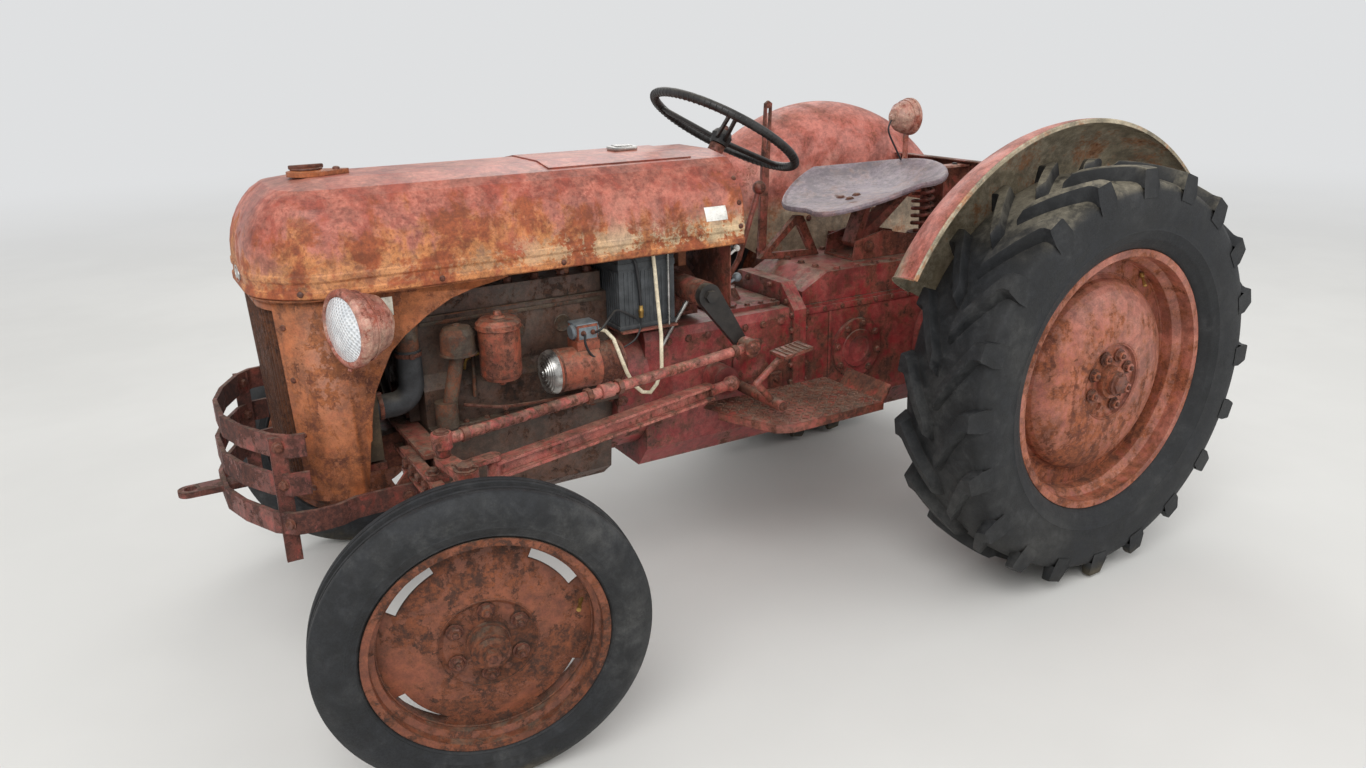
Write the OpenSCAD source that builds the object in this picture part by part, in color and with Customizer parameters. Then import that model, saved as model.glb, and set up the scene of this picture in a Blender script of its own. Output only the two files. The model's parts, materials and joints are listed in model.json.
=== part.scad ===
// Utility tractor of about 1950: open side-valve engine, hood that tilts forward with its grille,
// clamshell fenders, wrap-around bumper guard and a three-point hitch at the back.
// All lengths are millimetres. While modelling, x runs forward from the rear axle,
// y runs to the tractor's left and z runs up from the ground.

/* [Castings] */
// Rear axle to the joint between the centre housing and the gearbox
case_len = 640; // [600:5:700]
// Length of the gearbox and clutch housing
gearbox_len = 605; // [570:5:650]
// Length of the engine block
block_len = 500; // [470:5:540]
// Front axle pin ahead of the block's front face
axle_ahead = 33; // [20:1:60]
// Tail of the centre housing behind the rear axle
case_tail = 165; // [140:5:190]
// Half width of the centre housing
case_half = 150; // [140:2:160]
// Half width of the gearbox
gearbox_half = 165; // [155:2:175]
// Depth of the castings' floor below the rear axle
belly_drop = 223; // [195:2:245]
// Height of the gearbox's top cover
gearbox_top_z = 782; // [765:1:800]
// Rise of the flat joint under the hydraulic lift cover above the rear axle
cover_joint_rise = 177; // [165:1:190]
// Height of the hydraulic lift cover above its joint
cover_h = 88; // [70:2:100]
// Radius of the clutch housing's bell
bell_r = 190; // [180:2:192]

/* [Engine] */
// Half width of the block
block_half = 148; // [138:2:158]
// Height of the joint between block and oil pan
pan_joint_z = 640; // [620:2:660]
// Height of the joint between block and cylinder head
head_joint_z = 905; // [890:1:915]
// Height of the cylinder head
head_h = 52; // [44:2:60]
// Number of cylinders
cylinders = 4; // [4:1:4]
// Radius of the oil filter's can
filter_r = 50; // [44:1:56]
// Height of the oil filter's can
filter_h = 142; // [120:2:160]
// Radius of the starter motor
starter_r = 54; // [48:1:60]
// Length of the starter motor
starter_len = 182; // [160:2:200]
// Radius of the generator
generator_r = 40; // [36:1:40]
// Sweep radius of the fan
fan_r = 172; // [150:2:174]
// Number of fan blades
fan_blades = 4; // [4:1:6]
// Battery length across the tractor
battery_w = 262; // [240:2:280]
// Battery length along the tractor
battery_l = 160; // [150:2:175]
// Battery height
battery_h = 190; // [175:1:195]
// Height of the battery tray
tray_z = 812; // [808:1:820]

/* [Rear wheels] */
// Distance between the rear wheels' centre planes
rear_tread = 1320; // [1280:4:1400]
// Radius of the rear tyre over its lugs
rear_tyre_r = 595; // [575:1:610]
// Section width of the rear tyre
rear_tyre_w = 284; // [260:2:290]
// Radius of the rear rim's flange
rear_rim_r = 372; // [366:1:378]
// Width of the rear rim between its flanges
rear_rim_w = 204; // [190:2:214]
// Height of the tyre's lugs
lug_h = 30; // [24:1:36]
// Number of lugs on each side of a rear tyre
lugs = 20; // [18:1:24]
// Radius of the wheel bolts' circle
bolt_circle_r = 76; // [70:1:80]
// Number of bolts in a rear wheel
rear_bolts = 8; // [8:1:8]

/* [Front wheels] */
// Distance between the front wheels' centre planes
front_tread = 1320; // [1290:2:1380]
// Radius of the front tyre
front_tyre_r = 350; // [340:1:360]
// Section width of the front tyre
front_tyre_w = 112; // [104:1:118]
// Radius of the front rim's flange
front_rim_r = 254; // [250:1:258]
// Width of the front rim between its flanges
front_rim_w = 84; // [76:1:90]
// Number of bolts in a front wheel
front_bolts = 6; // [6:1:6]
// Outward lean of the front wheels' tops
camber = 3.4; // [1:0.2:5]
// Number of crescent openings in a front wheel's disc
crescents = 4; // [4:1:4]

/* [Front axle and steering] */
// Half distance between the kingpins
kingpin_y = 545; // [530:1:560]
// Radius of the kingpin
kingpin_r = 16; // [14:0.5:18]
// Height of the front axle beam's middle
beam_z = 600; // [585:1:615]
// Steering angle at which the tractor is parked, positive to the left
steer_at_rest = -11.3; // [-20:0.1:20]
// Length of the arm on each kingpin
spindle_arm = 100; // [92:1:110]
// Forward lead of that arm with the wheels straight
arm_lead = 20; // [14:1:24]
// Height of the drag link's front ball
ball_z = 712; // [708:1:720]
// Cross shaft of the steering gear behind the engine joint
gear_back = 230; // [215:1:245]
// Height of the steering gear's cross shaft
gear_z = 885; // [875:1:895]
// Length of the drop arms on the cross shaft
drop_arm = 181; // [170:1:190]
// Backward swing of the drop arms with the wheels straight
drop_swing = 28; // [22:0.1:32]
// Distance of the drop arms from the middle
drop_y = 284; // [278:1:290]
// Lean of the steering column
column_lean = 31; // [26:1:34]
// Cross shaft to the steering wheel's plane
column_len = 450; // [430:2:470]
// Diameter of the steering wheel
wheel_dia = 457; // [430:1:470]
// Thickness of the steering wheel's rim
wheel_grip = 24; // [20:1:28]

/* [Hood and grille] */
// Hood's rear edge behind the engine joint
hood_back = 360; // [345:1:372]
// Hood's nose ahead of the front axle
nose_ahead = 309; // [300:1:330]
// Half width of the hood
hood_half = 250; // [244:1:256]
// Radius of the hood's front corners in plan
hood_corner_r = 170; // [150:5:180]
// Height of the hood's lower edge
belt_z = 1002; // [996:1:1008]
// Height of the hood's crease lines
crease_z = 1220; // [1212:1:1226]
// Inset of the crease lines from the hood's sides
crease_in = 80; // [70:1:90]
// Rise of the hood's middle above its crease lines
crown = 14; // [8:1:20]
// Thickness of the sheet metal
skin = 3; // [2.5:0.5:4]
// Filler door's length
door_len = 400; // [380:5:410]
// Filler door's rear edge ahead of the hood's rear edge
door_ahead = 100; // [90:2:110]
// Height of the grille shell's foot
shell_foot_z = 525; // [515:1:540]
// Backward lean of the grille
grille_lean = 2.4; // [1:0.2:4]
// Half width of the grille's opening
grille_half = 172; // [160:2:180]
// Number of grille bars
grille_bars_n = 26; // [20:2:30]
// Radius of a headlamp
headlamp_r = 82; // [76:1:88]

/* [Bumper] */
// Foremost face of the bumper ahead of the front axle
bumper_ahead = 418; // [405:1:430]
// Half width over the bumper's lowest bar
bumper_half = 292; // [280:2:304]
// Thickness of the bumper's flat bars
bar_t = 10; // [8:1:12]
// Height of the bumper's flat bars
bar_h = 52; // [44:1:60]
// Reach of the tow tongue ahead of the bumper
tongue_len = 96; // [80:2:110]
// Radius of the tongue's hole
tongue_hole_r = 14; // [10:0.5:16]

/* [Fenders, seat and steps] */
// Radius of the fenders' outer edge about the rear axle
fender_r = 700; // [685:1:715]
// Distance of the fenders' inner panels from the middle
fender_in_y = 425; // [415:1:435]
// Distance of the fenders' outer edges from the middle
fender_out_y = 604; // [590:2:620]
// Angle of the fenders' front ends above the axle
fender_front = 29; // [24:1:34]
// Angle of the fenders' rear ends, measured over the top
fender_rear = 152; // [144:1:158]
// Width of the pan seat
seat_w = 440; // [420:2:460]
// Length of the pan seat
seat_l = 500; // [480:2:520]
// Height of the step plates
step_z = 552; // [540:1:565]
// Distance of the step plates' outer edges from the middle
step_out_y = 452; // [440:1:460]

/* [Three-point hitch] */
// Length of the lift arms
lift_arm = 250; // [235:1:265]
// Rise of the lift arms' shaft above the rear axle
lift_rise = 217; // [205:1:225]
// Drop of the lift arms at rest
lift_drop = 15; // [10:1:20]
// Distance of the lift arms from the middle
lift_y = 196; // [190:1:204]
// Depth of the lower links' front pins below the rear axle
link_fall = 190; // [180:1:200]
// Length of the lower links
link_len = 740; // [700:5:780]
// Drop of the lower links at rest
link_drop = 8; // [5:1:12]
// Radius of the bores in the lower links' rear balls
link_bore_r = 11; // [9:0.1:11.5]

/* [Hidden] */
$fn = 64;

// Stations along the tractor
gearbox_x = case_len;
engine_x = gearbox_x + gearbox_len;
block_front_x = engine_x + block_len;
wheelbase = block_front_x + axle_ahead;
nose_x = wheelbase + nose_ahead;
hood_rear_x = engine_x - hood_back;
bumper_x = wheelbase + bumper_ahead;
tongue_x = bumper_x + tongue_len;
gear_x = engine_x - gear_back;

// Heights that follow the rear axle
belly_z = rear_tyre_r - belly_drop;
cover_joint_z = rear_tyre_r + cover_joint_rise;
lift_z = rear_tyre_r + lift_rise;
link_z = rear_tyre_r - link_fall;

// Lower links and lift rods
link_pin_x = -20;
link_front_y = 222;
link_rear_y = 342;
link_rod_at = 395;
link_eye_r = 30;
link_t = 14;
link_reach = link_len * cos(link_drop);
lift_x = -25;
lift_tip = [lift_x - lift_arm * cos(lift_drop), lift_z - lift_arm * sin(lift_drop)];
rod_foot = [link_pin_x - link_rod_at * cos(link_drop), link_z - link_rod_at * sin(link_drop)];

// The origin lies under the middle of the length, from the tongue's tip to the rear tyres or links
rear_end_x = max(rear_tyre_r, link_reach + link_eye_r - link_pin_x);
origin_x = (tongue_x - rear_end_x) / 2;

// Running and seating clearances
fit = 0.05;
gap = 0.3;

// Steering geometry, solved for the parked angle. Side is 1 on the left and -1 on the right.
function turned(v, a) = [v.x * cos(a) - v.y * sin(a), v.x * sin(a) + v.y * cos(a)];
function arm_tip(side, a) =
  [wheelbase, side * kingpin_y]
  + turned([spindle_arm * sin(arm_lead), -side * spindle_arm * cos(arm_lead)], a);
link_side_y = drop_y + 26;
drag_len = norm([
  arm_tip(1, 0).x - gear_x + drop_arm * sin(drop_swing),
  arm_tip(1, 0).y - link_side_y,
  ball_z - gear_z + drop_arm * cos(drop_swing)
]);
function drop_tip(side) =
  let (a = drop_angle_at_rest(side))
  [gear_x - drop_arm * sin(a), side * link_side_y, gear_z - drop_arm * cos(a)];
function drop_angle_at_rest(side) = solve_drop(side, 0, 60, 24);
function drop_error(side, a) =
  norm([
    arm_tip(side, steer_at_rest).x - gear_x + drop_arm * sin(a),
    abs(arm_tip(side, steer_at_rest).y) - link_side_y,
    ball_z - gear_z + drop_arm * cos(a)
  ]) - drag_len;
// Halves the interval until the drag link's length fits
function solve_drop(side, low, high, steps) =
  let (mid = (low + high) / 2)
  steps == 0 ? mid
  : drop_error(side, mid) > 0 ? solve_drop(side, low, mid, steps - 1)
  : solve_drop(side, mid, high, steps - 1);

module place() translate([-origin_x, 0, 0]) children();
module both_sides() {
  children();
  mirror([0, 1, 0]) children();
}
// Turns z into y
module about_y() rotate([-90, 0, 0]) children();
// Extrudes an outline drawn in x and z from y0 to y1
module slab_y(y0, y1) translate([0, y1, 0]) rotate([90, 0, 0]) linear_extrude(y1 - y0) children();
// Extrudes an outline drawn in y and z from x0 to x1
module slab_x(x0, x1) translate([x0, 0, 0]) rotate([90, 0, 90]) linear_extrude(x1 - x0) children();
module slab_z(z0, z1) translate([0, 0, z0]) linear_extrude(z1 - z0) children();
// Round bar between two points
module rod(a, b, r) {
  v = b - a;
  translate(a)
    rotate([0, acos(v.z / norm(v)), atan2(v.y, v.x)])
      cylinder(r = r, h = norm(v));
}
// Round bar through a list of points, with ball corners
module bent_rod(points, r) {
  for (i = [0 : len(points) - 2]) rod(points[i], points[i + 1], r);
  for (i = [1 : len(points) - 2]) translate(points[i]) sphere(r = r * 1.08);
}
// Flat strip of thickness t along a list of plan points, with mitred bends
module strip(points, t) {
  n = len(points);
  function normal(i, j) = let (v = points[j] - points[i]) [-v.y, v.x] / norm(v);
  function corner(i) = let (
      a = normal(max(i - 1, 0), max(i, 1)),
      b = normal(min(i, n - 2), min(i + 1, n - 1)),
      m = (a + b) / norm(a + b)
    ) m / (m * a);
  polygon(concat([for (i = [0 : n - 1]) points[i] + t / 2 * corner(i)],
                 [for (i = [n - 1 : -1 : 0]) points[i] - t / 2 * corner(i)]));
}
function arc(c, r, a0, a1, n) =
  [for (i = [0 : n]) let (a = a0 + (a1 - a0) * i / n) [c.x + r * cos(a), c.y + r * sin(a)]];
function flipped(points) = [for (i = [len(points) - 1 : -1 : 0]) points[i]];

// Engine

module engine_block() place() color("#5b4a38") {
  slab_x(engine_x, block_front_x)
    polygon([
      [-block_half, head_joint_z], [block_half, head_joint_z],
      [block_half, 765], [block_half + 22, 730], [block_half + 22, pan_joint_z],
      [-block_half - 22, pan_joint_z], [-block_half - 22, 730], [-block_half, 765]
    ]);
  // Timing cover and water pump on the front face
  slab_x(block_front_x, block_front_x + 26)
    polygon([[-110, pan_joint_z], [110, pan_joint_z], [110, 730], [60, 800], [60, 880],
             [-60, 880], [-60, 800], [-110, 730]]);
  translate([block_front_x + 26, 0, pump_z]) rotate([0, 90, 0]) cylinder(r = 34, h = 22);
}

pump_z = 835;
pan_flange = 196;
module oil_pan() place() color("#54432f") {
  slab_x(engine_x, block_front_x)
    polygon([[-pan_flange, pan_joint_z], [-pan_flange, pan_joint_z - 16],
             [-block_half - 10, pan_joint_z - 24], [-block_half + 12, belly_z + 40],
             [-block_half + 62, belly_z], [block_half - 62, belly_z],
             [block_half - 12, belly_z + 40], [block_half + 10, pan_joint_z - 24],
             [pan_flange, pan_joint_z - 16], [pan_flange, pan_joint_z]]);
}

module cylinder_head() place() color("#4a4034") {
  difference() {
    slab_z(head_joint_z, head_joint_z + head_h)
      translate([engine_x + 12, -block_half + 8])
        square([block_len - 24, 2 * block_half - 16]);
    for (i = [0 : cylinders - 1])
      translate([cylinder_x(i), -62, head_joint_z + head_h - 10]) cylinder(r = 17, h = 20);
  }
  for (i = [0 : cylinders - 1])
    translate([cylinder_x(i), -62, head_joint_z + head_h - 12]) {
      cylinder(r = 12, h = 12, $fn = 6);
      cylinder(r = 7, h = 52);
    }
  // Water outlet toward the radiator's top tank
  translate([block_front_x - 42, 0, head_joint_z + head_h - 1]) cylinder(r = 34, h = 30);
}
function cylinder_x(i) = engine_x + block_len * (i + 0.5) / cylinders;

manifold_y = -block_half - 4;
module manifold() place() color("#6a4a34") {
  slab_y(manifold_y - 58, manifold_y - 8)
    polygon([[engine_x + 60, 835], [block_front_x - 40, 835],
             [block_front_x - 40, 885], [engine_x + 60, 885]]);
  for (i = [0 : cylinders - 1])
    translate([cylinder_x(i), manifold_y - 30, 860]) rotate([-90, 0, 0]) cylinder(r = 24,
      h = 34 - gap);
  // Updraft carburettor hung below the manifold
  translate([carb_x, carb_y, 745]) {
    cylinder(r = 30, h = 92);
    translate([0, 0, -40]) cylinder(r = 42, h = 62);
    rotate([0, -90, 0]) cylinder(r = 24, h = 70);
  }
}
carb_x = engine_x + 260;
carb_y = manifold_y - 64;
pipe_x = engine_x + 70;
muffler = [pipe_x, -200, belly_z + 14];

module exhaust() place() color("#5d4636") {
  out_y = -pan_flange - 26;
  bent_rod([[pipe_x, manifold_y - 34, 835 - gap], [pipe_x, manifold_y - 34, 795], [pipe_x, out_y, 735],
            [pipe_x, out_y, 470], muffler + [-80, 0, 14], muffler - [240, 0, 0]], 22);
  rod(muffler - [232, 0, 0], muffler - [680, 0, 0], 52);
  rod(muffler - [670, 0, 0], muffler - [1080, 0, 0], 20);
}

cleaner_x = engine_x - 70;
cleaner_y = -gearbox_half - 78;
module air_cleaner() place() color("#4c4238") {
  translate([cleaner_x, cleaner_y, 690]) {
    cylinder(r = 66, h = 62);
    translate([0, 0, 50]) cylinder(r = 58, h = 150);
    translate([0, 0, 196]) cylinder(r = 34, h = 40);
  }
  bent_rod([[cleaner_x, cleaner_y, 900], [cleaner_x + 40, cleaner_y + 10, 926],
            [carb_x - 140, carb_y - 34, 800], [carb_x - 106, carb_y, 745], [carb_x - 70 - gap,
              carb_y, 745]], 22);
}

filter_x = engine_x + 322;
filter_y = block_half + 72;
filter_z = 749;
module oil_filter() place() color("#a5502c") {
  translate([filter_x, filter_y, filter_z]) rotate_extrude()
    polygon([[0, -8], [12, -8], [14, 0], [filter_r - 8, 0], [filter_r, 12], [filter_r, filter_h - 16],
             [filter_r + 4, filter_h - 14], [filter_r + 4, filter_h - 4], [filter_r - 6, filter_h + 6],
               [0, filter_h + 8]]);
  // Bracket to the block
  slab_z(filter_z + 40, filter_z + filter_h - 30)
    translate([filter_x - 24, block_half + gap]) square([48,
      filter_y - filter_r + 8 - block_half - gap]);
}

filler_x = engine_x + 459;
module oil_filler() place() color("#5e4636") {
  rod([filler_x, block_half + 54, 668], [filler_x - 40, block_half + 57, 832], 17);
  translate([filler_x, block_half + 52, 646]) {
    cylinder(r = 27, h = 62);
    translate([0, 0, 26]) rotate([90, 0, 0]) cylinder(r = 21, h = 30 - gap);
  }
  translate([filler_x - 40, block_half + 57, 820]) rotate_extrude()
    polygon([[0, 3], [30, 0], [38, 0], [42, 6], [40, 52], [32, 66], [12, 71], [0, 71]]);
}

starter_x = engine_x + 12;
starter_y = block_half + 22 + starter_r + 4;
starter_z = 742;
module starter() place() color("#8c4a2e") {
  translate([starter_x + gap, starter_y, starter_z]) rotate([0, 90, 0]) {
    cylinder(r = starter_r, h = starter_len);
    translate([0, 0, starter_len - 1]) cylinder(r1 = starter_r - 3, r2 = starter_r - 12, h = 16);
  }
  // Solenoid switch on its strap
  translate([starter_x + 62, starter_y - 32, starter_z + starter_r - 6]) cube([62, 58, 24]);
  translate([starter_x + 66, starter_y - 30, starter_z + starter_r + 14]) cube([54, 54, 44]);
  translate([starter_x + 58, starter_y, starter_z + starter_r + 34]) rotate([0, 90, 0]) cylinder(r = 7,
    h = 70);
  // Seat on the block's side
  slab_z(starter_z - 30, starter_z + 30)
    translate([starter_x + 30, block_half + 22 + gap]) square([110, starter_r - 10]);
}

generator_y = -block_half - generator_r - 2;
generator_z = 790;
module generator() place() color("#4b4238") {
  translate([block_front_x + 30, generator_y, generator_z]) rotate([0, -90, 0]) cylinder(r = generator_r,
    h = 210);
  translate([block_front_x + 30, generator_y, generator_z]) rotate([0, 90, 0]) {
    cylinder(r = 10, h = 28);
    translate([0, 0, 8]) cylinder(r = generator_r - 4, h = 18);
  }
  slab_y(generator_y - 8, -block_half - 22 - gap)
    polygon([[block_front_x - 100, 700], [block_front_x - 20, 700],
             [block_front_x - 20, generator_z - 10], [block_front_x - 100, generator_z - 10]]);
}

fan_x = block_front_x + 70;
module fan() place() color("#3d3833") {
  translate([fan_x - 20, 0, pump_z]) rotate([0, 90, 0]) {
    translate([0, 0, gap - 2]) cylinder(r = 48, h = 20);
    cylinder(r = 26, h = 26);
    for (i = [0 : fan_blades - 1]) rotate([0, 0, 45 + 360 * i / fan_blades])
      translate([20, 0, 22]) rotate([28, 0, 0]) translate([0, -32, -1.5]) cube([fan_r - 20, 64, 3]);
  }
}

radiator_x = block_front_x + 118;
radiator_t = 62;
module radiator() place() color("#26241f") {
  slab_x(radiator_x, radiator_x + radiator_t)
    polygon([[-205, 598], [205, 598], [205, 1050], [170, 1120], [-170, 1120], [-205, 1050]]);
  translate([radiator_x + radiator_t / 2, 0, 1110]) cylinder(r = 32, h = 82);
  // Bottom feet on the axle support
  for (s = [-1, 1]) translate([radiator_x + 6, s * 120 - 25, 590]) cube([radiator_t - 12, 50, 12]);
  translate([radiator_x + 4, hose_y, hose_low_z]) rotate([0, -90, 0]) cylinder(r = 25, h = 30);
  translate([radiator_x + 4, 0, 1060]) rotate([0, -90, 0]) cylinder(r = 22, h = 30);
}
hose_y = 172;
hose_low_z = 716;
hose_up_x = block_front_x + 28;
hose_bend = 46;

module hoses() place() color("#222222") {
  // Lower hose: out of the radiator, one bend, and up to the pump's elbow
  difference() {
    lower_hose(29);
    rod([radiator_x - 40, hose_y, hose_low_z], [radiator_x + 10, hose_y, hose_low_z], 25 + gap);
  }
  // Upper hose over the head
  difference() {
    bent_rod([[block_front_x - 42, 0, head_joint_z + head_h + 12], [block_front_x - 42, 0, 1015],
              [block_front_x - 10, 0, 1060], [radiator_x - gap, 0, 1060]], 30);
    translate([block_front_x - 42, 0, 900]) cylinder(r = 34 + gap, h = 30 + head_h + 5);
    rod([radiator_x - 40, 0, 1060], [radiator_x + 10, 0, 1060], 22 + gap);
  }
}
module lower_hose(r) {
  rod([radiator_x - gap, hose_y, hose_low_z], [hose_up_x + hose_bend, hose_y, hose_low_z], r);
  translate([hose_up_x + hose_bend, hose_y, hose_low_z + hose_bend]) rotate([90, 0, 0])
    rotate([0, 0, 180]) rotate_extrude(angle = 90) translate([hose_bend, 0]) circle(r = r, $fn = 48);
  rod([hose_up_x, hose_y, hose_low_z + hose_bend], [hose_up_x, hose_y, 842], r);
}

battery_x = engine_x - gap - battery_l;
battery_y = 222;
module battery() place() color("#3c4247") {
  slab_z(tray_z + gap, tray_z + gap + battery_h)
    translate([battery_x, battery_y - battery_w]) square([battery_l, battery_w]);
}

cable_r = 5;
cable_route = [
  [1309, 228, 830], [1298, 246, 828], [1290, 272, 812], [1284, 294, 772], [1272, 303, 730],
  [1256, 306, 696], [1232, 306, 672], [1206, 300, 664], [1182, 292, 680], [1162, 284, 716],
  [1151, 266, 800], [1148, 244, 900], [1147, 234, 960], [1149, 230, 1000], [1151, 218, 1012], [1152, 205,
    1013]
];
module battery_cable() place() color("#cdb893")
  sweep(cable_route, cable_r, 8);

// Closed tube of a given number of sides along a route; up is a direction that the route avoids
module sweep(route, r, sides, up = [0.31, 0.9, 0.2]) {
  n = len(route);
  function dir(i) = let (v = route[min(i + 1, n - 1)] - route[max(i - 1, 0)]) v / norm(v);
  function side_of(i) = let (v = cross(dir(i), up)) v / norm(v);
  rings = [for (i = [0 : n - 1], k = [0 : sides - 1])
    route[i] + r * (cos(360 * k / sides) * side_of(i)
                    + sin(360 * k / sides) * cross(dir(i), side_of(i)))];
  quads = [for (i = [0 : n - 2], k = [0 : sides - 1]) let (k2 = (k + 1) % sides)
    [i * sides + k, (i + 1) * sides + k, (i + 1) * sides + k2, i * sides + k2]];
  polyhedron(rings, concat(
    [[for (k = [0 : sides - 1]) k]],
    quads,
    [[for (k = [sides - 1 : -1 : 0]) (n - 1) * sides + k]]));
}

module dash_panel() place() color("#7b3b30") {
  difference() {
    slab_x(hood_rear_x + 28, hood_rear_x + 28 + skin)
      polygon([[-hood_half + 22, 830], [hood_half - 22, 830], [hood_half - 22, belt_z + 40],
               [hood_half - crease_in - 14, crease_z - 12], [-hood_half + crease_in + 14, crease_z - 12],
               [-hood_half + 22, belt_z + 40]]);
    rod([gear_x, 0, gear_z], column_point(column_len), 40);
  }
  // Instruments that face the driver
  for (g = [[-140, 1090, 30], [-140, 1010, 30], [140, 1060, 38]])
    translate([hood_rear_x + 28 + skin, g.x, g.y]) rotate([0, -90, 0]) cylinder(r = g.z, h = 14);
  // Battery tray, bolted to the bell housing
  slab_z(tray_z - 6, tray_z) translate([battery_x - 3, battery_y - battery_w - 8])
    square([battery_l + 3, battery_w + 20]);
  slab_z(bell_z + bell_r + gap, tray_z - 5) translate([engine_x - 96, -40]) square([80, 80]);
}

tank_x = hood_rear_x + 70;
tank_len = 420;
module fuel_tank() place() color("#7a4636") {
  slab_x(tank_x, tank_x + tank_len)
    polygon([[-196, 1036], [196, 1036], [206, 1080], [176, 1180], [-176, 1180], [-206, 1080]]);
  translate([tank_x + 190, 0, 1178]) cylinder(r = 34, h = 34);
  // Tabs that hold the dash panel
  tab_x = hood_rear_x + 28 + skin + gap;
  for (s = [-1, 1]) translate([tab_x, s * 150 - 12, 1086]) cube([tank_x + 4 - tab_x, 24, 30]);
  // Feet on the steering gear's housing and on the cylinder head
  for (s = [-1, 1]) translate([gear_x - 35, s * 90 - 18, tank_foot_z]) cube([24, 36, 1038 - tank_foot_z]);
  for (s = [-1, 1]) translate([tank_x + tank_len - 40, s * 110 - 14, head_joint_z + head_h + gap])
    cube([24, 28, 1038 - head_joint_z - head_h - gap]);
}
gear_top = 46;
tank_foot_z = gear_z + gear_top + gap;

// Gearbox and rear housings

bell_z = 612;
module gearbox_case() place() color("#8f3c33") {
  // Clutch bell at the engine joint
  difference() {
    translate([engine_x - 105, 0, bell_z]) rotate([0, 90, 0]) cylinder(r = bell_r, h = 105);
    translate([engine_x - 110, -300, 0]) cube([120, 600, belly_z]);
  }
  translate([engine_x - 190, 0, bell_z]) rotate([0, 90, 0]) cylinder(r1 = bell_r - 30, r2 = bell_r, h = 86);
  slab_x(gearbox_x, engine_x - 100)
    polygon([[-gearbox_half + 10, gearbox_top_z - 6], [gearbox_half - 10, gearbox_top_z - 6],
             [gearbox_half, gearbox_top_z - 30], [gearbox_half - 8, belly_z + 70],
             [gearbox_half - 60, belly_z + 6], [-gearbox_half + 60, belly_z + 6],
             [-gearbox_half + 8, belly_z + 70], [-gearbox_half, gearbox_top_z - 30]]);
  // Flange at the joint with the centre housing
  slab_x(gearbox_x, gearbox_x + 22) rear_flange();
  // Shift cover with its inspection cap
  slab_z(gearbox_top_z - 8, gearbox_top_z + 6) translate([gearbox_x + 30, -120]) square([215, 240]);
  translate([gearbox_x + 190, 70, gearbox_top_z]) cylinder(r = 34, h = 12);
  translate([gearbox_x + 140, 0, gearbox_top_z]) cylinder(r1 = 46, r2 = 26, h = shift_dome);
  // Seats of the radius rods' rear balls
  both_sides() translate([rod_rear.x, gearbox_half - 20, rod_rear.z]) rotate([-90, 0, 0])
    cylinder(r = 40, h = rod_rear.y - 24 - gearbox_half + 20 - gap);
}
rod_rear = [925, 250, 620];
// Half width of the gearbox's sloping side at a height
function gearbox_side(z) = gearbox_half - 8 * (gearbox_top_z - 30 - z) / (gearbox_top_z - 100 - belly_z);

module rear_flange() polygon([[-case_half - 26, 770], [-110, 840], [110, 840], [case_half + 26, 770],
  [case_half + 26, 470], [110, belly_z + 10], [-110, belly_z + 10], [-case_half - 26, 470]]);

module centre_case() place() color("#93392f") {
  slab_x(-case_tail, gearbox_x)
    polygon([[-case_half, cover_joint_z], [case_half, cover_joint_z], [case_half, belly_z + 80],
             [case_half - 60, belly_z], [-case_half + 60, belly_z], [-case_half, belly_z + 80]]);
  slab_x(gearbox_x - 24, gearbox_x) rear_flange();
  // Side covers and the flanges that carry the axle housings
  both_sides() {
    translate([405, case_half - 2, 612]) about_y() cylinder(r = 92, h = 14);
    translate([0, case_half - 2, rear_tyre_r]) about_y() cylinder(r = flange_r, h = 26);
  }
  // Drawbar plate with the hitch's front pins under the axle
  slab_z(belly_z - 16, belly_z + 2) translate([-case_tail, -90]) square([120, 180]);
  both_sides() {
    slab_y(case_half - 30, link_front_y - link_t / 2 - gap)
      translate([link_pin_x, link_z]) circle(r = 20);
    translate([link_pin_x, link_front_y - 40, link_z]) about_y() cylinder(r = link_pin_r, h = 64);
  }
  // Ears of the top link's rocker and the power shaft's stub
  for (s = [-1, 1]) slab_y(s * 26 - 7, s * 26 + 7)
    difference() {
      polygon([[-case_tail + 2, 640], [-case_tail - 62, 668], [-case_tail - 62, 720], [-case_tail + 2,
        740]]);
      translate([-case_tail - 40, 694]) circle(r = top_bore_r);
    }
  translate([-case_tail + 2, 0, 520]) rotate([0, -90, 0]) {
    cylinder(r = 62, h = 20);
    cylinder(r = 17.5, h = 92);
  }
}
flange_r = 168;
link_pin_r = 12;
top_bore_r = 10;

module lift_cover() place() color("#97402f") {
  difference() {
    slab_y(-case_half + 4, case_half - 4)
      polygon([[-case_tail + 6, cover_joint_z + gap], [gearbox_x - 30, cover_joint_z + gap],
               [gearbox_x - 30, cover_joint_z + 40], [gearbox_x - 120, cover_joint_z + cover_h],
               [80, cover_joint_z + cover_h], [-90, cover_joint_z + cover_h + 10],
               [-case_tail + 6, cover_joint_z + 30]]);
    translate([lift_x, -300, lift_z]) about_y() cylinder(r = 25 + fit, h = 600);
  }
  // Round ends of the lift shaft's bore
  both_sides() translate([lift_x, case_half - 6, lift_z]) about_y() difference() {
    cylinder(r = lift_z - cover_joint_z - gap, h = 22);
    translate([0, 0, -1]) cylinder(r = 25 + fit, h = 24);
  }
}

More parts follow.
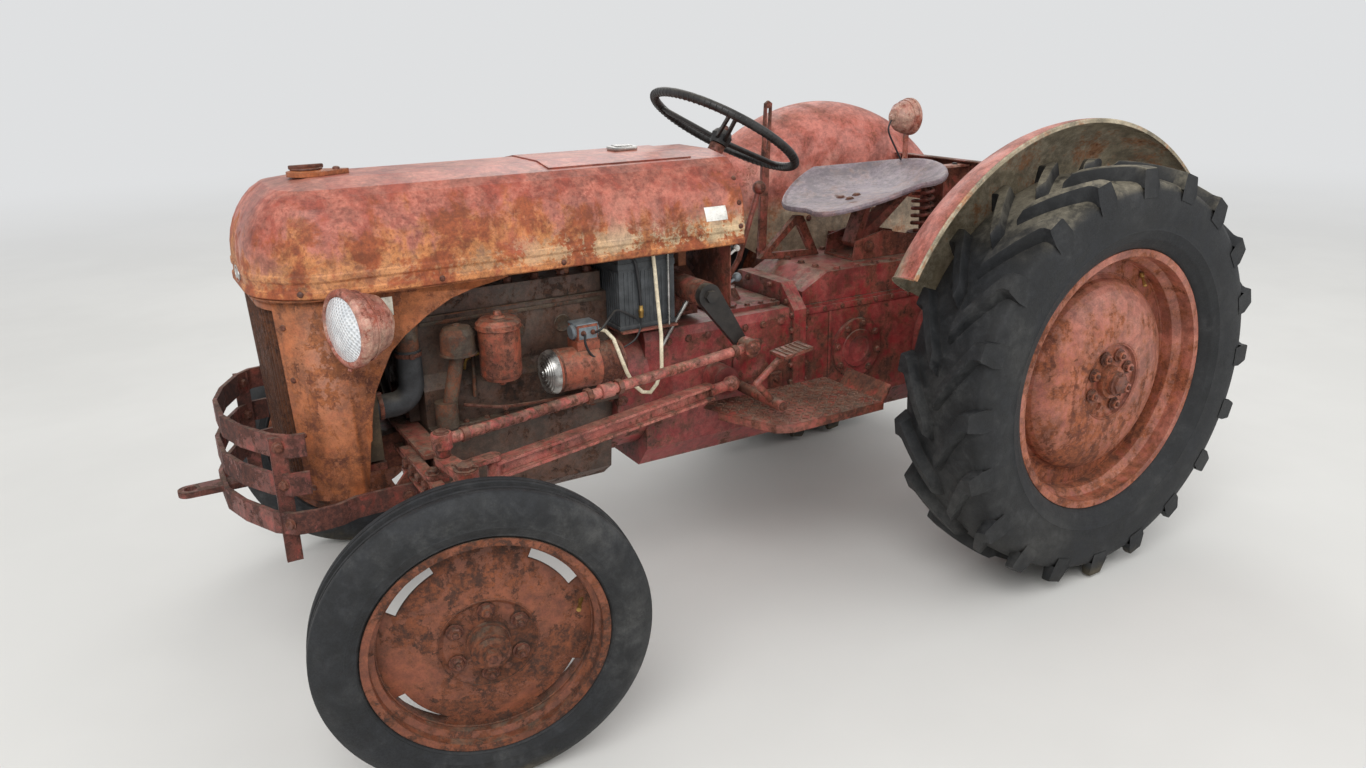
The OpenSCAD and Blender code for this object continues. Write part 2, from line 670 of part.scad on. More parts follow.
drum_y = 428;
drum_r = 182;
module axle_housings() place() color("#8a4a35") {
  both_sides() {
    translate([0, case_half + 24 + gap, rear_tyre_r]) about_y() rotate_extrude()
      polygon([[0, 0], [flange_r, 0], [flange_r, 18], [150, 24], [108, 90], [92, 200], [92, 226],
               [drum_r, 226], [drum_r + 6, 234], [drum_r + 6, drum_y + 40 - case_half - 24],
               [drum_r - 6, drum_y + 40 - case_half - 24], [drum_r - 6, drum_y + 14 - case_half - 24],
               [shaft_r + fit, drum_y + 14 - case_half - 24], [shaft_r + fit, 60], [0, 60]]);
    // Pad that carries the fender
    translate([-60, drum_y - 19, rear_tyre_r + drum_r - 12]) cube([120,
      fender_in_y - drum_y + 19 - gap, 85]);
  }
}
shaft_r = 34;
shaft_in_y = drum_y - 100;

// Fenders, seat, steps

fender_t = 3;
crown_turn_r = 175;
fender_foot_z = rear_tyre_r + 100;
module full_fender() {
  // Crown: revolved about the rear axle, bowled from the inner panel out over the tyre
  translate([0, 0, rear_tyre_r]) rotate([0, -fender_front, 0]) rotate([90, 0, 0])
    rotate_extrude(angle = fender_rear - fender_front) mirror([0, 1])
      polygon(concat(fender_line(0), flipped(fender_line(fender_t))));
  // Flat inner panel down to the pad on the axle housing
  r = fender_r - crown_turn_r + 0.5;
  slab_y(fender_in_y, fender_in_y + fender_t) difference() {
    polygon(concat(
      arc([0, rear_tyre_r], r, fender_front, fender_rear, 40),
      [[0.8 * r * cos(fender_rear), rear_tyre_r + 0.8 * r * sin(fender_rear)],
       [-215, fender_foot_z], [215, fender_foot_z],
       [0.8 * r * cos(fender_front), rear_tyre_r + 0.8 * r * sin(fender_front)]]));
    // Cut-out round the brake drum's housing
    translate([0, rear_tyre_r]) circle(r = drum_r + 16);
  }
}
// Outline of the crown from the inner panel to the rolled edge, in radius and y
function fender_line(t) = concat(
  arc([fender_r - crown_turn_r, fender_in_y + crown_turn_r], crown_turn_r - t, -90, -4, 12),
  [[fender_r - t, fender_out_y - 4], [fender_r - 4 - t / 2, fender_out_y - t], [fender_r - 12,
    fender_out_y - t]]
);
module fender_left() place() color("#b06a55") full_fender();
module fender_right() place() color("#b06a55") mirror([0, 1, 0]) full_fender();

step_edge = 24;
module step_plates() place() color("#6d4236") both_sides() {
  plan = [[548, gearbox_half + 20], [548, step_out_y - 6], [860, step_out_y], [905, step_out_y - 22],
          [975, gearbox_half + 96], [990, gearbox_half + 44], [960, gearbox_half + 20]];
  slab_z(step_z - 4, step_z) polygon(plan);
  // Turned-down outer edge and the flap that rises toward the tyre
  slab_z(step_z - step_edge, step_z - 3.9) strip([plan[1] - [0, 2], plan[2] - [0, 2], plan[3] - [1, 1.5],
    plan[4]], 4);
  slab_y(gearbox_half + 90, step_out_y - 8)
    polygon([[550, step_z - 4], [550, step_z], [522, step_z + 44], [518, step_z + 42], [546, step_z - 4]]);
  // Bracket bolted to the gearbox
  slab_x(700, 740) polygon([[gearbox_side(step_z - 60) + gap, step_z - 60],
    [gearbox_side(step_z + 40) + gap, step_z + 40], [gearbox_half + 10, step_z + 40],
      [gearbox_half + 10, step_z - 3.9], [step_out_y - 40, step_z - 3.9],
    [step_out_y - 40, step_z - 16]]);
}

module pedals() place() color("#7c4034") {
  // Clutch pedal on the left, brake pedals on the right
  pedal(366, 400, 68);
  mirror([0, 1, 0]) pedal(346, 374, 50);
  mirror([0, 1, 0]) pedal(394, 428, 50);
  both_sides() translate([pedal_pin.x, gearbox_side(pedal_pin.y) + 0.6, pedal_pin.y]) about_y()
    cylinder(r = 15, h = 246);
}
pedal_pin = [868, 590];
// One pedal: its arm's and its pad's distances from the middle, and the pad's width
module pedal(arm_y, pad_y, pad_w) {
  bent_rod([[pedal_pin.x, arm_y, pedal_pin.y], [935, (arm_y + pad_y) / 2, 660], [852, pad_y, 738]], 9);
  translate([790, pad_y - pad_w / 2, 740]) rotate([0, 8, 0]) cube([92, pad_w, 9]);
}

lever_y = -case_half + 44;
module levers() place() color("#5a4038") {
  // Gear lever on its dome
  bent_rod([[gearbox_x + 140, 0, gearbox_top_z + shift_dome + gap],
            [gearbox_x + 140, 0, gearbox_top_z + shift_dome + 14], [735, 0, 900], [668, 0, 1090]], 8);
  translate([664, 0, 1102]) sphere(r = 20);
  base = cover_joint_z + cover_h + gap;
  // Slotted lift handle, pinned to its quadrant
  difference() {
    slab_y(lever_y - 5, lever_y + 5)
      polygon([[566, base + 4], [594, base + 4], [588, 1040], [572, 1330], [560, 1338], [548, 1330],
        [560, 1036]]);
    slab_y(lever_y - 20, lever_y + 20) polygon([[554, 1316], [566, 1316], [570, 1200], [562, 1200]]);
  }
  translate([582, lever_y - 4, base + 22]) about_y() cylinder(r = 9, h = 30);
  // Quadrant frame on the lift cover
  difference() {
    slab_y(lever_y + 10, lever_y + 28) polygon([[604, base + 10], [470, 990], [440, 988], [376, base],
      [512, base]]);
    slab_y(lever_y, lever_y + 40) polygon([[562, base + 24], [464, 966], [458, 960], [414, base + 18]]);
  }
}
shift_dome = 40;

// Pan seat: rings that grow from the middle to a rolled rim, over a dished height
seat_x = 270;
seat_rise = 1052;
seat_t = 5;
function seat_edge(a) =
  let (
    front = max(0, cos(a)),
    notch = 0.17 * pow(front, 14),
    lobe = 0.10 * pow(abs(cos(a) * sin(a)), 1) * (cos(a) > 0 ? 1 : 0)
  )
  [seat_l / 2 * cos(a) * (1 - notch + lobe), seat_w / 2 * sin(a) * (1 + 0.10 * cos(a - 90) * sin(a)
    - 0.16 * front)];
function seat_height(p) =
  let (u = p.x / (seat_l / 2), v = p.y / (seat_w / 2))
  seat_rise + 46 * v * v * (1 - 0.5 * max(0, u)) + (u < 0 ? 84 * u * u : -34 * u);
// Shares of the outline at which the rings lie, and the rim's roll as out and up steps
seat_rings = [0.2, 0.4, 0.6, 0.76, 0.88, 0.96];
seat_roll = [[0, 0], [7, 3], [12, 1], [14, -6], [11, -13], [4, -14]];
seat_sides = 48;
function seat_ring(k, z) = [for (i = [0 : seat_sides - 1])
  let (p = k * seat_edge(360 * i / seat_sides)) [p.x, p.y, seat_height(p) + z]];
function seat_rolled(o) = [for (i = [0 : seat_sides - 1])
  let (p = seat_edge(360 * i / seat_sides), d = p / norm(p))
  [p.x + o.x * d.x, p.y + o.x * d.y, seat_height(p) + o.y]];
module seat() place() color("#7d7078") translate([seat_x, 0, 0]) {
  rows = concat([for (k = seat_rings) seat_ring(k, 0)], [for (o = seat_roll) seat_rolled(o)],
                [for (k = flipped(seat_rings)) seat_ring(k, -seat_t)]);
  middle = seat_height([0, 0]);
  n = seat_sides;
  m = len(rows);
  polyhedron(concat([for (r = rows) each r], [[0, 0, middle], [0, 0, middle - seat_t]]), concat(
    [for (i = [0 : n - 1]) [m * n, (i + 1) % n, i]],
    [for (j = [0 : m - 2], i = [0 : n - 1]) each [
      [j * n + i, j * n + (i + 1) % n, (j + 1) * n + (i + 1) % n],
      [j * n + i, (j + 1) * n + (i + 1) % n, (j + 1) * n + i]]],
    [for (i = [0 : n - 1]) [m * n + 1, (m - 1) * n + i, (m - 1) * n + (i + 1) % n]]));
}

spring_x = 15;
spring_z0 = cover_joint_z + cover_h + 45;
spring_z1 = 1092;
spring_turns = 7;
module seat_support() place() color("#7b3b30") {
  // Base plate on the lift cover, with its upturned flanges
  cover_top = cover_joint_z + cover_h;
  slab_z(cover_top + gap, cover_top + 8) translate([82, -70]) square([278, 140]);
  bracket_side = [[82, cover_top + 4], [360, cover_top + 4], [350, cover_top + 60], [240,
    cover_top + 84], [82, cover_top + 50]];
  slab_y(-70, -64) polygon(bracket_side);
  slab_y(64, 70) polygon(bracket_side);
  // Swinging bar from its front pin back to the spring's top, with the seat's pad
  translate([300, -74, cover_top + 40]) about_y() cylinder(r = 11, h = 148);
  slab_y(-30, 30) polygon([[316, cover_top + 30], [292, cover_top + 52], [250, seat_pad_z + 0.2],
    [352, seat_pad_z - 11.4], [352, seat_pad_z - 20], [272, seat_pad_z - 14], [324, cover_top + 44]]);
  slab_y(-26, 26) polygon([[spring_x - 50, spring_z1 + 14], [spring_x + 25, spring_z1 + 14], [312,
    cover_top + 58],
    [318, cover_top + 32], [296, cover_top + 24], [spring_x + 15, spring_z1], [spring_x - 50, spring_z1]]);
  // Spring between two cups
  for (z = [spring_z0 - 8, spring_z1 - 6]) translate([spring_x, 0, z]) cylinder(r = 46, h = 8);
  translate([spring_x, 0, spring_z0 - 8]) cylinder(r = 9, h = spring_z1 - spring_z0 + 8);
  sweep([for (i = [0 : 12 * spring_turns]) let (a = 30 * i, f = i / (12 * spring_turns))
    [spring_x + 32 * cos(a), 32 * sin(a), spring_z0 + 7 + f * (spring_z1 - spring_z0 - 20)]], 6, 8, [0,
      0, 1]);
  slab_x(spring_x - 52, spring_x - 46) polygon([[-40, spring_z0 - 20], [40, spring_z0 - 20], [40,
    spring_z1 + 10], [-40, spring_z1 + 10]]);
  slab_z(spring_z0 - 20, spring_z0 - 7) translate([spring_x - 52, -40]) square([132, 80]);
  slab_y(-36, 36) polygon([[spring_x + 20, cover_top + 14], [84, cover_top + 7], [110, cover_top + 7],
    [spring_x + 80, spring_z0 - 10], [spring_x - 10, spring_z0 - 10]]);
}
seat_pad_z = seat_rise - seat_t - gap;

lamp_at = [10, -100, 1265];
module rear_lamp() place() color("#a08a80") {
  translate(lamp_at) rotate([0, -90, 0]) rotate_extrude()
    polygon([[0, -62], [26, -56], [46, -34], [55, 0], [57, 4], [57, 14], [48, 14], [46, 8], [0, 6]]);
  translate([lamp_at.x, lamp_at.y, panel_top_z - 12]) cylinder(r = 9, h = lamp_at.z - panel_top_z - 30);
  slab_z(panel_top_z - 20, panel_top_z - 12) translate([panel_x + 4 + gap, lamp_at.y - 20])
    square([lamp_at.x + 20 - panel_x - 4, 40]);
}

panel_x = -276;
panel_top_z = 1108;
module cross_panel() place() color("#6c3a33") {
  translate([panel_x, -fender_in_y + gap, 950])
    cube([4, 2 * fender_in_y - 2 * gap, panel_top_z - 950]);
  translate([panel_x, -fender_in_y + gap, panel_top_z - 4])
    cube([34, 2 * fender_in_y - 2 * gap, 4]);
}

// Front axle, radius rods and bumper

beam_h = 64;
beam_t = 46;
axle_boss_z0 = beam_z - 60;
axle_boss_z1 = beam_z + 50;
module front_axle() place() color("#7d4634") {
  // Centre member: an I-section that pivots under the engine
  slab_y(-330, 330) translate([wheelbase, beam_z]) i_section(beam_t + 8, beam_h + 10, 10);
  // Extension members bolted along the front of it
  both_sides() {
    slab_y(210, kingpin_y) translate([ext_x, ext_z]) i_section(ext_w, beam_h - 6, 8);
    difference() {
      union() {
        translate([wheelbase, kingpin_y, axle_boss_z0]) cylinder(r = 33, h = axle_boss_z1 - axle_boss_z0);
        slab_z(beam_z - 34, beam_z + 22) translate([wheelbase - 20, kingpin_y - 60]) square([66, 60]);
      }
      translate([wheelbase, kingpin_y, 0]) cylinder(r = kingpin_r + fit, h = 900);
    }
  }
  // Support casting from the engine's front down to the axle pin
  slab_y(-60, 60) polygon([[block_front_x + gap, pan_joint_z - 30], [radiator_x + radiator_t, 588],
    [radiator_x + radiator_t, 560], [wheelbase + 60, 520], [block_front_x + gap, 505]]);
  // Lugs that the bumper's lowest bar bolts to
  lug_y = bumper_half - 26 - bar_t / 2 - gap;
  both_sides() slab_y(lug_y - 11, lug_y)
    polygon([[guard_foot_x - 8, 500], [guard_foot_x + 40, 500], [guard_foot_x + 40, 552],
      [guard_foot_x + 16, 580], [guard_foot_x - 8, 580]]);
  slab_z(572, 589.6) translate([radiator_x - 6, -200]) square([radiator_t + 30, 400]);
  // Arms and pins on which the hood tilts
  both_sides() {
    slab_y(188, 200) hull() {
      translate([radiator_x + radiator_t - 10, 580]) circle(r = 9, $fn = 32);
      translate([pivot_x, pivot_z]) circle(r = 18, $fn = 32);
    }
    translate([pivot_x, 190, pivot_z]) about_y() cylinder(r = pivot_r, h = foot_y + ear_t - 1.5 - 190);
  }
}
module i_section(w, h, web) difference() {
  square([w, h], center = true);
  for (s = [-1, 1]) translate([s * (web / 2 + w / 2), 0]) square([w, h - 2 * web], center = true);
}

ext_x = wheelbase + beam_t / 2 + 14;
ext_w = 26;
ext_z = beam_z - 6;
rod_front = [ext_x, 430, ext_z];
fork_len = 150;
fork_t = 12;
module radius_rods() place() color("#9c4030") both_sides() {
  reach = norm(rod_front - rod_rear);
  fork = rod_front - fork_len * (rod_front - rod_rear) / reach;
  // Ball at the back, an I-section bar, and the fork that clasps the axle
  translate(rod_rear) rotate([0, 90, 0]) sphere(r = 22);
  translate(rod_rear) rotate([90, 0, 0]) cylinder(r = 13, h = 24 - gap);
  aimed(rod_rear, rod_front) {
    cylinder(r = 15, h = 90);
    translate([0, 0, 80]) linear_extrude(reach - fork_len - 80) rotate(90) i_section(34, 44, 9);
  }
  half = (beam_h - 6) / 2 + gap;
  slab_z(ext_z - half - fork_t, ext_z + half + fork_t) translate([fork.x, fork.y]) circle(r = 16);
  for (z = [-half - fork_t, half]) slab_z(ext_z + z, ext_z + z + fork_t) hull() {
    translate([fork.x, fork.y]) circle(r = 18, $fn = 32);
    translate([rod_front.x, rod_front.y]) circle(r = 17, $fn = 32);
  }
}
// Points z from a toward b
module aimed(a, b) {
  v = b - a;
  translate(a) rotate([0, acos(v.z / norm(v)), atan2(v.y, v.x)]) children();
}

bar_zs = [500, 588, 676];
guard_foot_x = wheelbase + 34;
module bumper() place() color("#5c3a32") {
  // Lowest bar wraps round and runs back to the axle
  slab_z(bar_zs[0], bar_zs[0] + bar_h) strip(guard_line(bumper_half, bumper_x, [[bumper_x - 160,
    bumper_half],
    [1990, bumper_half - 4], [1950, bumper_half - 22], [guard_foot_x, bumper_half - 26]]), bar_t);
  // Upper bars end just behind the uprights
  slab_z(bar_zs[1], bar_zs[1] + bar_h) strip(guard_line(bumper_half - 8, bumper_x - 6, [[2040,
    bumper_half - 12]]), bar_t);
  slab_z(bar_zs[2], bar_zs[2] + bar_h) strip(guard_line(bumper_half - 8, bumper_x - 14, [[2040,
    bumper_half - 12]]), bar_t);
  both_sides() slab_z(430, bar_zs[2] + bar_h - 4)
    translate([2078, bumper_half - 26 - bar_t]) square([34, bar_t]);
  difference() {
    slab_z(bar_zs[0] + 30, bar_zs[0] + 44) hull() {
      translate([bumper_x - 60, -26]) square([50, 52]);
      translate([tongue_x - 24, 0]) circle(r = 24, $fn = 32);
    }
    translate([tongue_x - 28, 0, 400]) cylinder(r = tongue_hole_r, h = 200);
  }
}
// Plan of a guard bar: round front with shoulders, then back along both sides
function guard_line(half, x, back) =
  let (left = concat([[x - bar_t / 2, 60], [x - 30, 150], [x - 76, half - 44], [x - 110, half - 10]], back))
  concat(flipped([for (p = left) [p.x, -p.y]]), left);

// Hood and what tilts with it

// Section of the hood from its middle out to the side, as distances from the corner's axis
function hood_line(t) = concat(
  [[0, crease_z + crown - t]],
  [[hood_corner_r - crease_in - 4, crease_z - t]],
  [for (i = [1 : 7]) let (a = 58 * (1 - i / 7), r = (crease_z - belt_z - 62) / sin(58))
    [hood_corner_r - t - (r - r * cos(a)) * crease_in / (r - r * cos(58)), belt_z + 62 + r * sin(a)]],
  [for (p = t > 0 ? [] : hood_beads) [hood_corner_r + p.x, belt_z + p.y]],
  [[hood_corner_r - t, belt_z]]
);
// Raised bead and rolled foot along the hood's lower edge, as steps out and up
hood_beads = [[0, 54], [3, 49], [3, 39], [0, 34], [0, 20], [4, 15], [4, 3]];
function hood_ring() = concat(hood_line(0), flipped(hood_line(skin)));

module hood() place() color("#a8583a") {
  difference() {
    hood_shell();
    // Opening under the filler door
    translate([hood_rear_x + door_ahead + 25, -110, crease_z - 20]) cube([door_len - 50, 220, 80]);
    // Hole for the radiator's neck
    translate([radiator_x + radiator_t / 2, 0, crease_z - 20]) cylinder(r = 36, h = 60);
  }
}
module hood_shell() {
  inner = hood_half - hood_corner_r;
  both_sides() translate([0, inner, 0]) slab_x(hood_rear_x, nose_x - hood_corner_r) polygon(hood_ring());
  translate([0, 0, crease_z + crown - skin]) slab_z(0, skin)
    translate([hood_rear_x, -inner]) square([nose_x - hood_corner_r - hood_rear_x, 2 * inner]);
  both_sides() translate([nose_x - hood_corner_r, inner, 0]) rotate_extrude(angle = 90)
    polygon(hood_ring());
  translate([nose_x - hood_corner_r, 0, 0]) slab_y(-inner, inner) polygon(hood_ring());
}

grille_z0 = shell_foot_z + 24;
grille_z1 = belt_z - 26;
shell_half = hood_half - 12;
shell_r = 140;
shell_nose_x = nose_x - 12;
shell_rear_x = shell_nose_x - 166;
tail_x = engine_x + 170;
module lean_back() translate([shell_nose_x, 0, belt_z]) rotate([0, grille_lean, 0])
  translate([-shell_nose_x, 0, -belt_z]) children();
module grille_shell() place() color("#a9622f") {
  difference() {
    lean_back() slab_z(shell_foot_z, belt_z - 12) shell_plan();
    // Opening for the grille
    translate([shell_nose_x - 100, -grille_half, grille_z0]) cube([200, 2 * grille_half,
      grille_z1 - grille_z0]);
    side_cut();
  }
  // Side rails under the hood's edge
  difference() {
    slab_z(belt_z - 60, belt_z - gap) difference() {
      shell_outline(0.8);
      shell_outline(skin + 1);
      translate([0, -shell_half + 12]) square([tail_x - 40, 2 * shell_half - 24]);
    }
    side_cut();
    slab_z(belt_z - 70, belt_z - 14) translate([shell_nose_x - 120, -300]) square([300, 600]);
  }
  // Lip under the hood's edge
  slab_z(belt_z - gap - 3, belt_z - gap) difference() {
    shell_outline(-10);
    shell_outline(skin);
    translate([0, -shell_half + 12]) square([tail_x - 40, 2 * shell_half - 24]);
  }
  // Ears that turn on the pivot pins
  both_sides() difference() {
    intersection() {
      slab_y(foot_y, shell_half) translate([pivot_x, pivot_z]) circle(r = 22);
      lean_back() slab_z(pivot_z - 60, pivot_z + 60) shell_outline(skin / 2);
    }
    slab_y(foot_y - 1, foot_y + ear_t - 0.5) translate([pivot_x, pivot_z]) circle(r = pivot_r + fit);
  }
}
ear_t = 8;
foot_y = shell_half - skin - ear_t - 16;
pivot_r = 10;
pivot_x = shell_nose_x - 112;
pivot_z = 556;
module shell_plan() difference() {
  shell_outline(0);
  shell_outline(skin);
  translate([0, -shell_half + 12]) square([tail_x - 40, 2 * shell_half - 24]);
}
module shell_outline(t) {
  translate([tail_x - 40 - (t > 0 ? 10 : 0), -shell_half + t])
    square([shell_nose_x - shell_r - tail_x + 40 + (t > 0 ? 10 : 0), 2 * (shell_half - t)]);
  for (s = [-1, 1]) translate([shell_nose_x - shell_r, s * (shell_half - shell_r)]) circle(r = shell_r - t);
  translate([shell_nose_x - shell_r - 1, -shell_half + shell_r]) square([shell_r + 1 - t,
    2 * (shell_half - shell_r)]);
}
// Cuts the side panels to their swept outline: upright at the radiator, then back under the hood
module side_cut() slab_y(-400, 400)
  polygon(concat(
    [[tail_x - 100, belt_z - 12], [tail_x, belt_z - 12]],
    arc([tail_x + 60, belt_z - 12 - 292], 286, 88, 8, 10),
    [[shell_rear_x - 14, 660], [shell_rear_x, 560], [shell_rear_x + 6, 400], [tail_x - 100, 400]]
  ));

// Inner face of the shell's front at a distance from the middle
function shell_face_x(y) = shell_nose_x - shell_r - skin
  + sqrt(shell_r * shell_r - pow(max(abs(y) - shell_half + shell_r, 0), 2));
module grille_bars() place() color("#4a2f22") lean_back() {
  pitch = 2 * grille_half / grille_bars_n;
  z0 = grille_z0 - 12;
  z1 = grille_z1 + 10;
  for (i = [0 : grille_bars_n - 1]) {
    y = -grille_half + (i + 0.5) * pitch;
    slab_z(z0, z1) translate([shell_face_x(abs(y) + 2.5) - gap - 8, y - 2.5]) square([8, 5]);
  }
  // Cross bars behind, bent to the same curve
  half = grille_half - 4;
  for (z = [z0, (z0 + z1) / 2 - 4, z1 - 8]) slab_z(z, z + 8)
    strip([for (i = [-8 : 8]) [shell_face_x(half * i / 8) - gap - 10.5, half * i / 8]], 5);
}

lamp_x = wheelbase + 150;
lamp_y = 322;
lamp_z = 952;
lamp_turn = 17;
module headlamps() place() color("#b8a79c") both_sides() {
  // Bowl, rim and lens
  translate([lamp_x, lamp_y, lamp_z]) rotate([0, 90, lamp_turn]) rotate_extrude()
    polygon([[0, -96], [30, -90], [58, -70], [headlamp_r - 8, -28], [headlamp_r - 4, -8], [headlamp_r, -6],
             [headlamp_r, 10], [headlamp_r - 8, 14], [headlamp_r - 14, 12], [40, 22], [0, 24]]);
  // Stalk to the side panel
  translate([lamp_x - 50, lamp_y - 40, lamp_z]) rotate([90, 0, 0]) cylinder(r = 17,
    h = lamp_y - 40 - shell_half - gap);
}

module filler_door() place() color("#a8583a") {
  x0 = hood_rear_x + door_ahead;
  slab_x(x0, x0 + door_len)
    polygon(concat(door_line(gap), flipped(door_line(gap + skin))));
  translate([x0 + 90, -22, crease_z + crown + skin]) cube([66, 44, 9]);
}
// Section of the door, at a height above the hood's roof
function door_line(up) = let (flat = hood_half - hood_corner_r,
  slope = crown / (hood_corner_r - crease_in - 4))
  [for (y = [-150, -flat, flat, 150]) [y, crease_z + crown + up - slope * max(abs(y) - flat, 0)]];

module radiator_cap() place() color("#6f4a38") {
  top = crease_z + crown + gap;
  slab_z(top, top + 10) hull() {
    translate([cap_x + 18, 0]) circle(r = 44, $fn = 64);
    translate([cap_x - 66, 0]) circle(r = 10, $fn = 32);
  }
  translate([cap_x + 18, 0, top + 10]) cylinder(r1 = 38, r2 = 30, h = 6);
}
cap_x = radiator_x + radiator_t / 2;

// Wheels and steering

spindle_y = front_tread / 2;
spindle_r = 22;
hub_reach = 46;
rib_y = 34;
// Height of the front wheels' middles that rests the leaning tyre on the ground
front_wheel_z = front_tyre_r * cos(camber) + rib_y * sin(camber);
wheel_in = spindle_y - kingpin_y;
// Puts a piece that is drawn about the spindle's axis on one steered knuckle
module on_knuckle(side) {
  translate([wheelbase, side * kingpin_y, 0]) rotate([0, 0, steer_at_rest])
    mirror([0, side < 0 ? 1 : 0, 0]) translate([0, wheel_in, front_wheel_z]) rotate([-camber, 0, 0])
      children();
}
module knuckle(side) color("#6b4638") {
  translate([wheelbase, side * kingpin_y, front_wheel_z - 26]) {
    cylinder(r = 25, h = axle_boss_z0 - front_wheel_z + 26 - gap);
    cylinder(r = kingpin_r, h = axle_boss_z1 - front_wheel_z + 60);
  }
  on_knuckle(side) about_y() translate([0, 0, -wheel_in]) cylinder(r = spindle_r, h = wheel_in + hub_reach);
  on_knuckle(side) about_y() translate([0, 0, -wheel_in + 20]) cylinder(r = 40, h = 24);
  // Steering arm on the kingpin's top
  tip = arm_tip(side, steer_at_rest);
  translate([wheelbase, side * kingpin_y, axle_boss_z1 + gap]) cylinder(r = 27, h = 28);
  slab_z(axle_boss_z1 + 10, axle_boss_z1 + 26) hull() {
    translate([wheelbase, side * kingpin_y]) circle(r = 24, $fn = 32);
    translate(tip) circle(r = 19, $fn = 32);
  }
}
module knuckle_left() place() knuckle(1);
module knuckle_right() place() knuckle(-1);

// Rim section: flange, bead seat and well, as a closed strip of sheet
module rim(r, w, lip, well, t) {
  out = [[r, w / 2], [r - lip, w / 2 - 2], [r - lip, 0.34 * w], [r - well, 0.25 * w]];
  back = [[r, w / 2 + t], [r - lip - t, w / 2 + t], [r - lip - t, 0.34 * w - 1], [r - well - t,
    0.25 * w - 1]];
  function lower(points) = [for (p = points) [p.x, -p.y]];
  rotate_extrude() polygon(concat(out, flipped(lower(out)), lower(back), flipped(back)));
}

front_lip = 13;
front_well = 26;
disc_y = 18;
module front_wheel() about_y() {
  difference() {
    union() {
      rim(front_rim_r, front_rim_w, front_lip, front_well, 4);
      rotate_extrude() polygon([[0, disc_y], [92, disc_y], [104, disc_y + 8], [150, disc_y + 4],
        [front_rim_r - front_well - 3.8, 4], [front_rim_r - front_well - 3.8, -1], [150, disc_y - 1],
        [104, disc_y + 3], [92, disc_y - 5], [0, disc_y - 5]]);
    }
    for (i = [0 : crescents - 1]) rotate([0, 0, 28 + 360 * i / crescents])
      translate([0, 0, -20]) rotate_extrude(angle = 34) translate([front_rim_r - front_well - 30, 0])
        square([25, 60]);
    translate([0, 0, -60]) cylinder(r = 38, h = 120);
  }
  // Hub with its cap
  difference() {
    union() {
      translate([0, 0, -44]) cylinder(r = 46, h = 44 + disc_y + 8);
      translate([0, 0, disc_y - 12]) cylinder(r = 96, h = 7);
      translate([0, 0, disc_y]) cylinder(r = 41, h = 40);
      translate([0, 0, disc_y + 38]) cylinder(r1 = 34, r2 = 28, h = 14);
      translate([0, 0, disc_y + 50]) cylinder(r = 19, h = 16, $fn = 6);
    }
    translate([0, 0, -50]) cylinder(r = spindle_r + fit, h = 50 + hub_reach + 6);
  }
  for (i = [0 : front_bolts - 1]) rotate([0, 0, 360 * (i + 0.5) / front_bolts])
    translate([bolt_circle_r, 0, disc_y - 1]) cylinder(r = 12, h = 16, $fn = 6);
}
module front_tyre() about_y() rotate_extrude() {
  seat_r = front_rim_r - front_lip + gap;
  bead = front_rim_w / 2 - 2 - gap;
  half = front_tyre_w / 2;
  side = [[seat_r, 0.34 * front_rim_w + 2], [seat_r, bead - 1], [front_rim_r, bead], [front_rim_r + 4,
    half - 7],
          [front_rim_r + 26, half - 1], [front_rim_r + 48, half], [front_tyre_r - 24, half - 4],
          [front_tyre_r - 8, rib_y + 8], [front_tyre_r, rib_y], [front_tyre_r, rib_y - 16],
          [front_tyre_r - 8, rib_y - 18], [front_tyre_r - 8, 11], [front_tyre_r, 9]];
  polygon(concat(side, flipped([for (p = side) [p.x, -p.y]])));
}
module front_wheel_left() place() color("#8d4a33") on_knuckle(1) front_wheel();
module front_wheel_right() place() color("#8d4a33") on_knuckle(-1) front_wheel();
module front_tyre_left() place() color("#2b2b2b") on_knuckle(1) front_tyre();
module front_tyre_right() place() color("#2b2b2b") on_knuckle(-1) front_tyre();

rear_lip = 16;
rear_well = 34;
hub_plate_y = 88;
dish_r = 278;
hub_ring_r = 116;
module rear_wheel(missing_bolt) translate([0, rear_tread / 2, rear_tyre_r]) about_y() {
  rim(rear_rim_r, rear_rim_w, rear_lip, rear_well, 5);
  difference() {
    rotate_extrude() {
      top = [for (i = [0 : 8]) let (a = 90 * i / 8)
        [hub_ring_r + (dish_r - hub_ring_r) * sin(a), 22 + (hub_plate_y - 8) * cos(a)]];
      under = [for (p = top) [p.x - 4, p.y - 6]];
      polygon(concat(
        [[0, hub_plate_y], [hub_ring_r - 10, hub_plate_y], [hub_ring_r - 5, hub_plate_y + 12]], top,
        [[dish_r + 10, 14], [rear_rim_r - rear_well - 4.8, 12], [rear_rim_r - rear_well - 4.8, 6],
          [dish_r + 6, 8]],
        flipped(under), [[hub_ring_r - 6, hub_plate_y - 8], [0, hub_plate_y - 8]]));
    }
    if (missing_bolt > 0) bolt_at(missing_bolt) translate([0, 0, 60]) cylinder(r = 11, h = 60);
  }
  // Axle shaft with its brake drum and end
  translate([0, 0, shaft_in_y - rear_tread / 2]) cylinder(r = shaft_r,
    h = rear_tread / 2 - shaft_in_y + hub_plate_y + 32);
  translate([0, 0, drum_y + 22 - rear_tread / 2]) cylinder(r = drum_r - 14, h = 44);
  translate([0, 0, hub_plate_y - 22]) cylinder(r = 98, h = 14.2);
  translate([0, 0, hub_plate_y]) cylinder(r = 46, h = 18);
  for (i = [0 : rear_bolts - 1]) if (i != missing_bolt)
    bolt_at(i) translate([0, 0, hub_plate_y - 0.5]) cylinder(r = 14, h = 18, $fn = 6);
}
module bolt_at(i) rotate([0, 0, 360 * (i + 0.5) / rear_bolts]) translate([bolt_circle_r, 0, 0]) children();

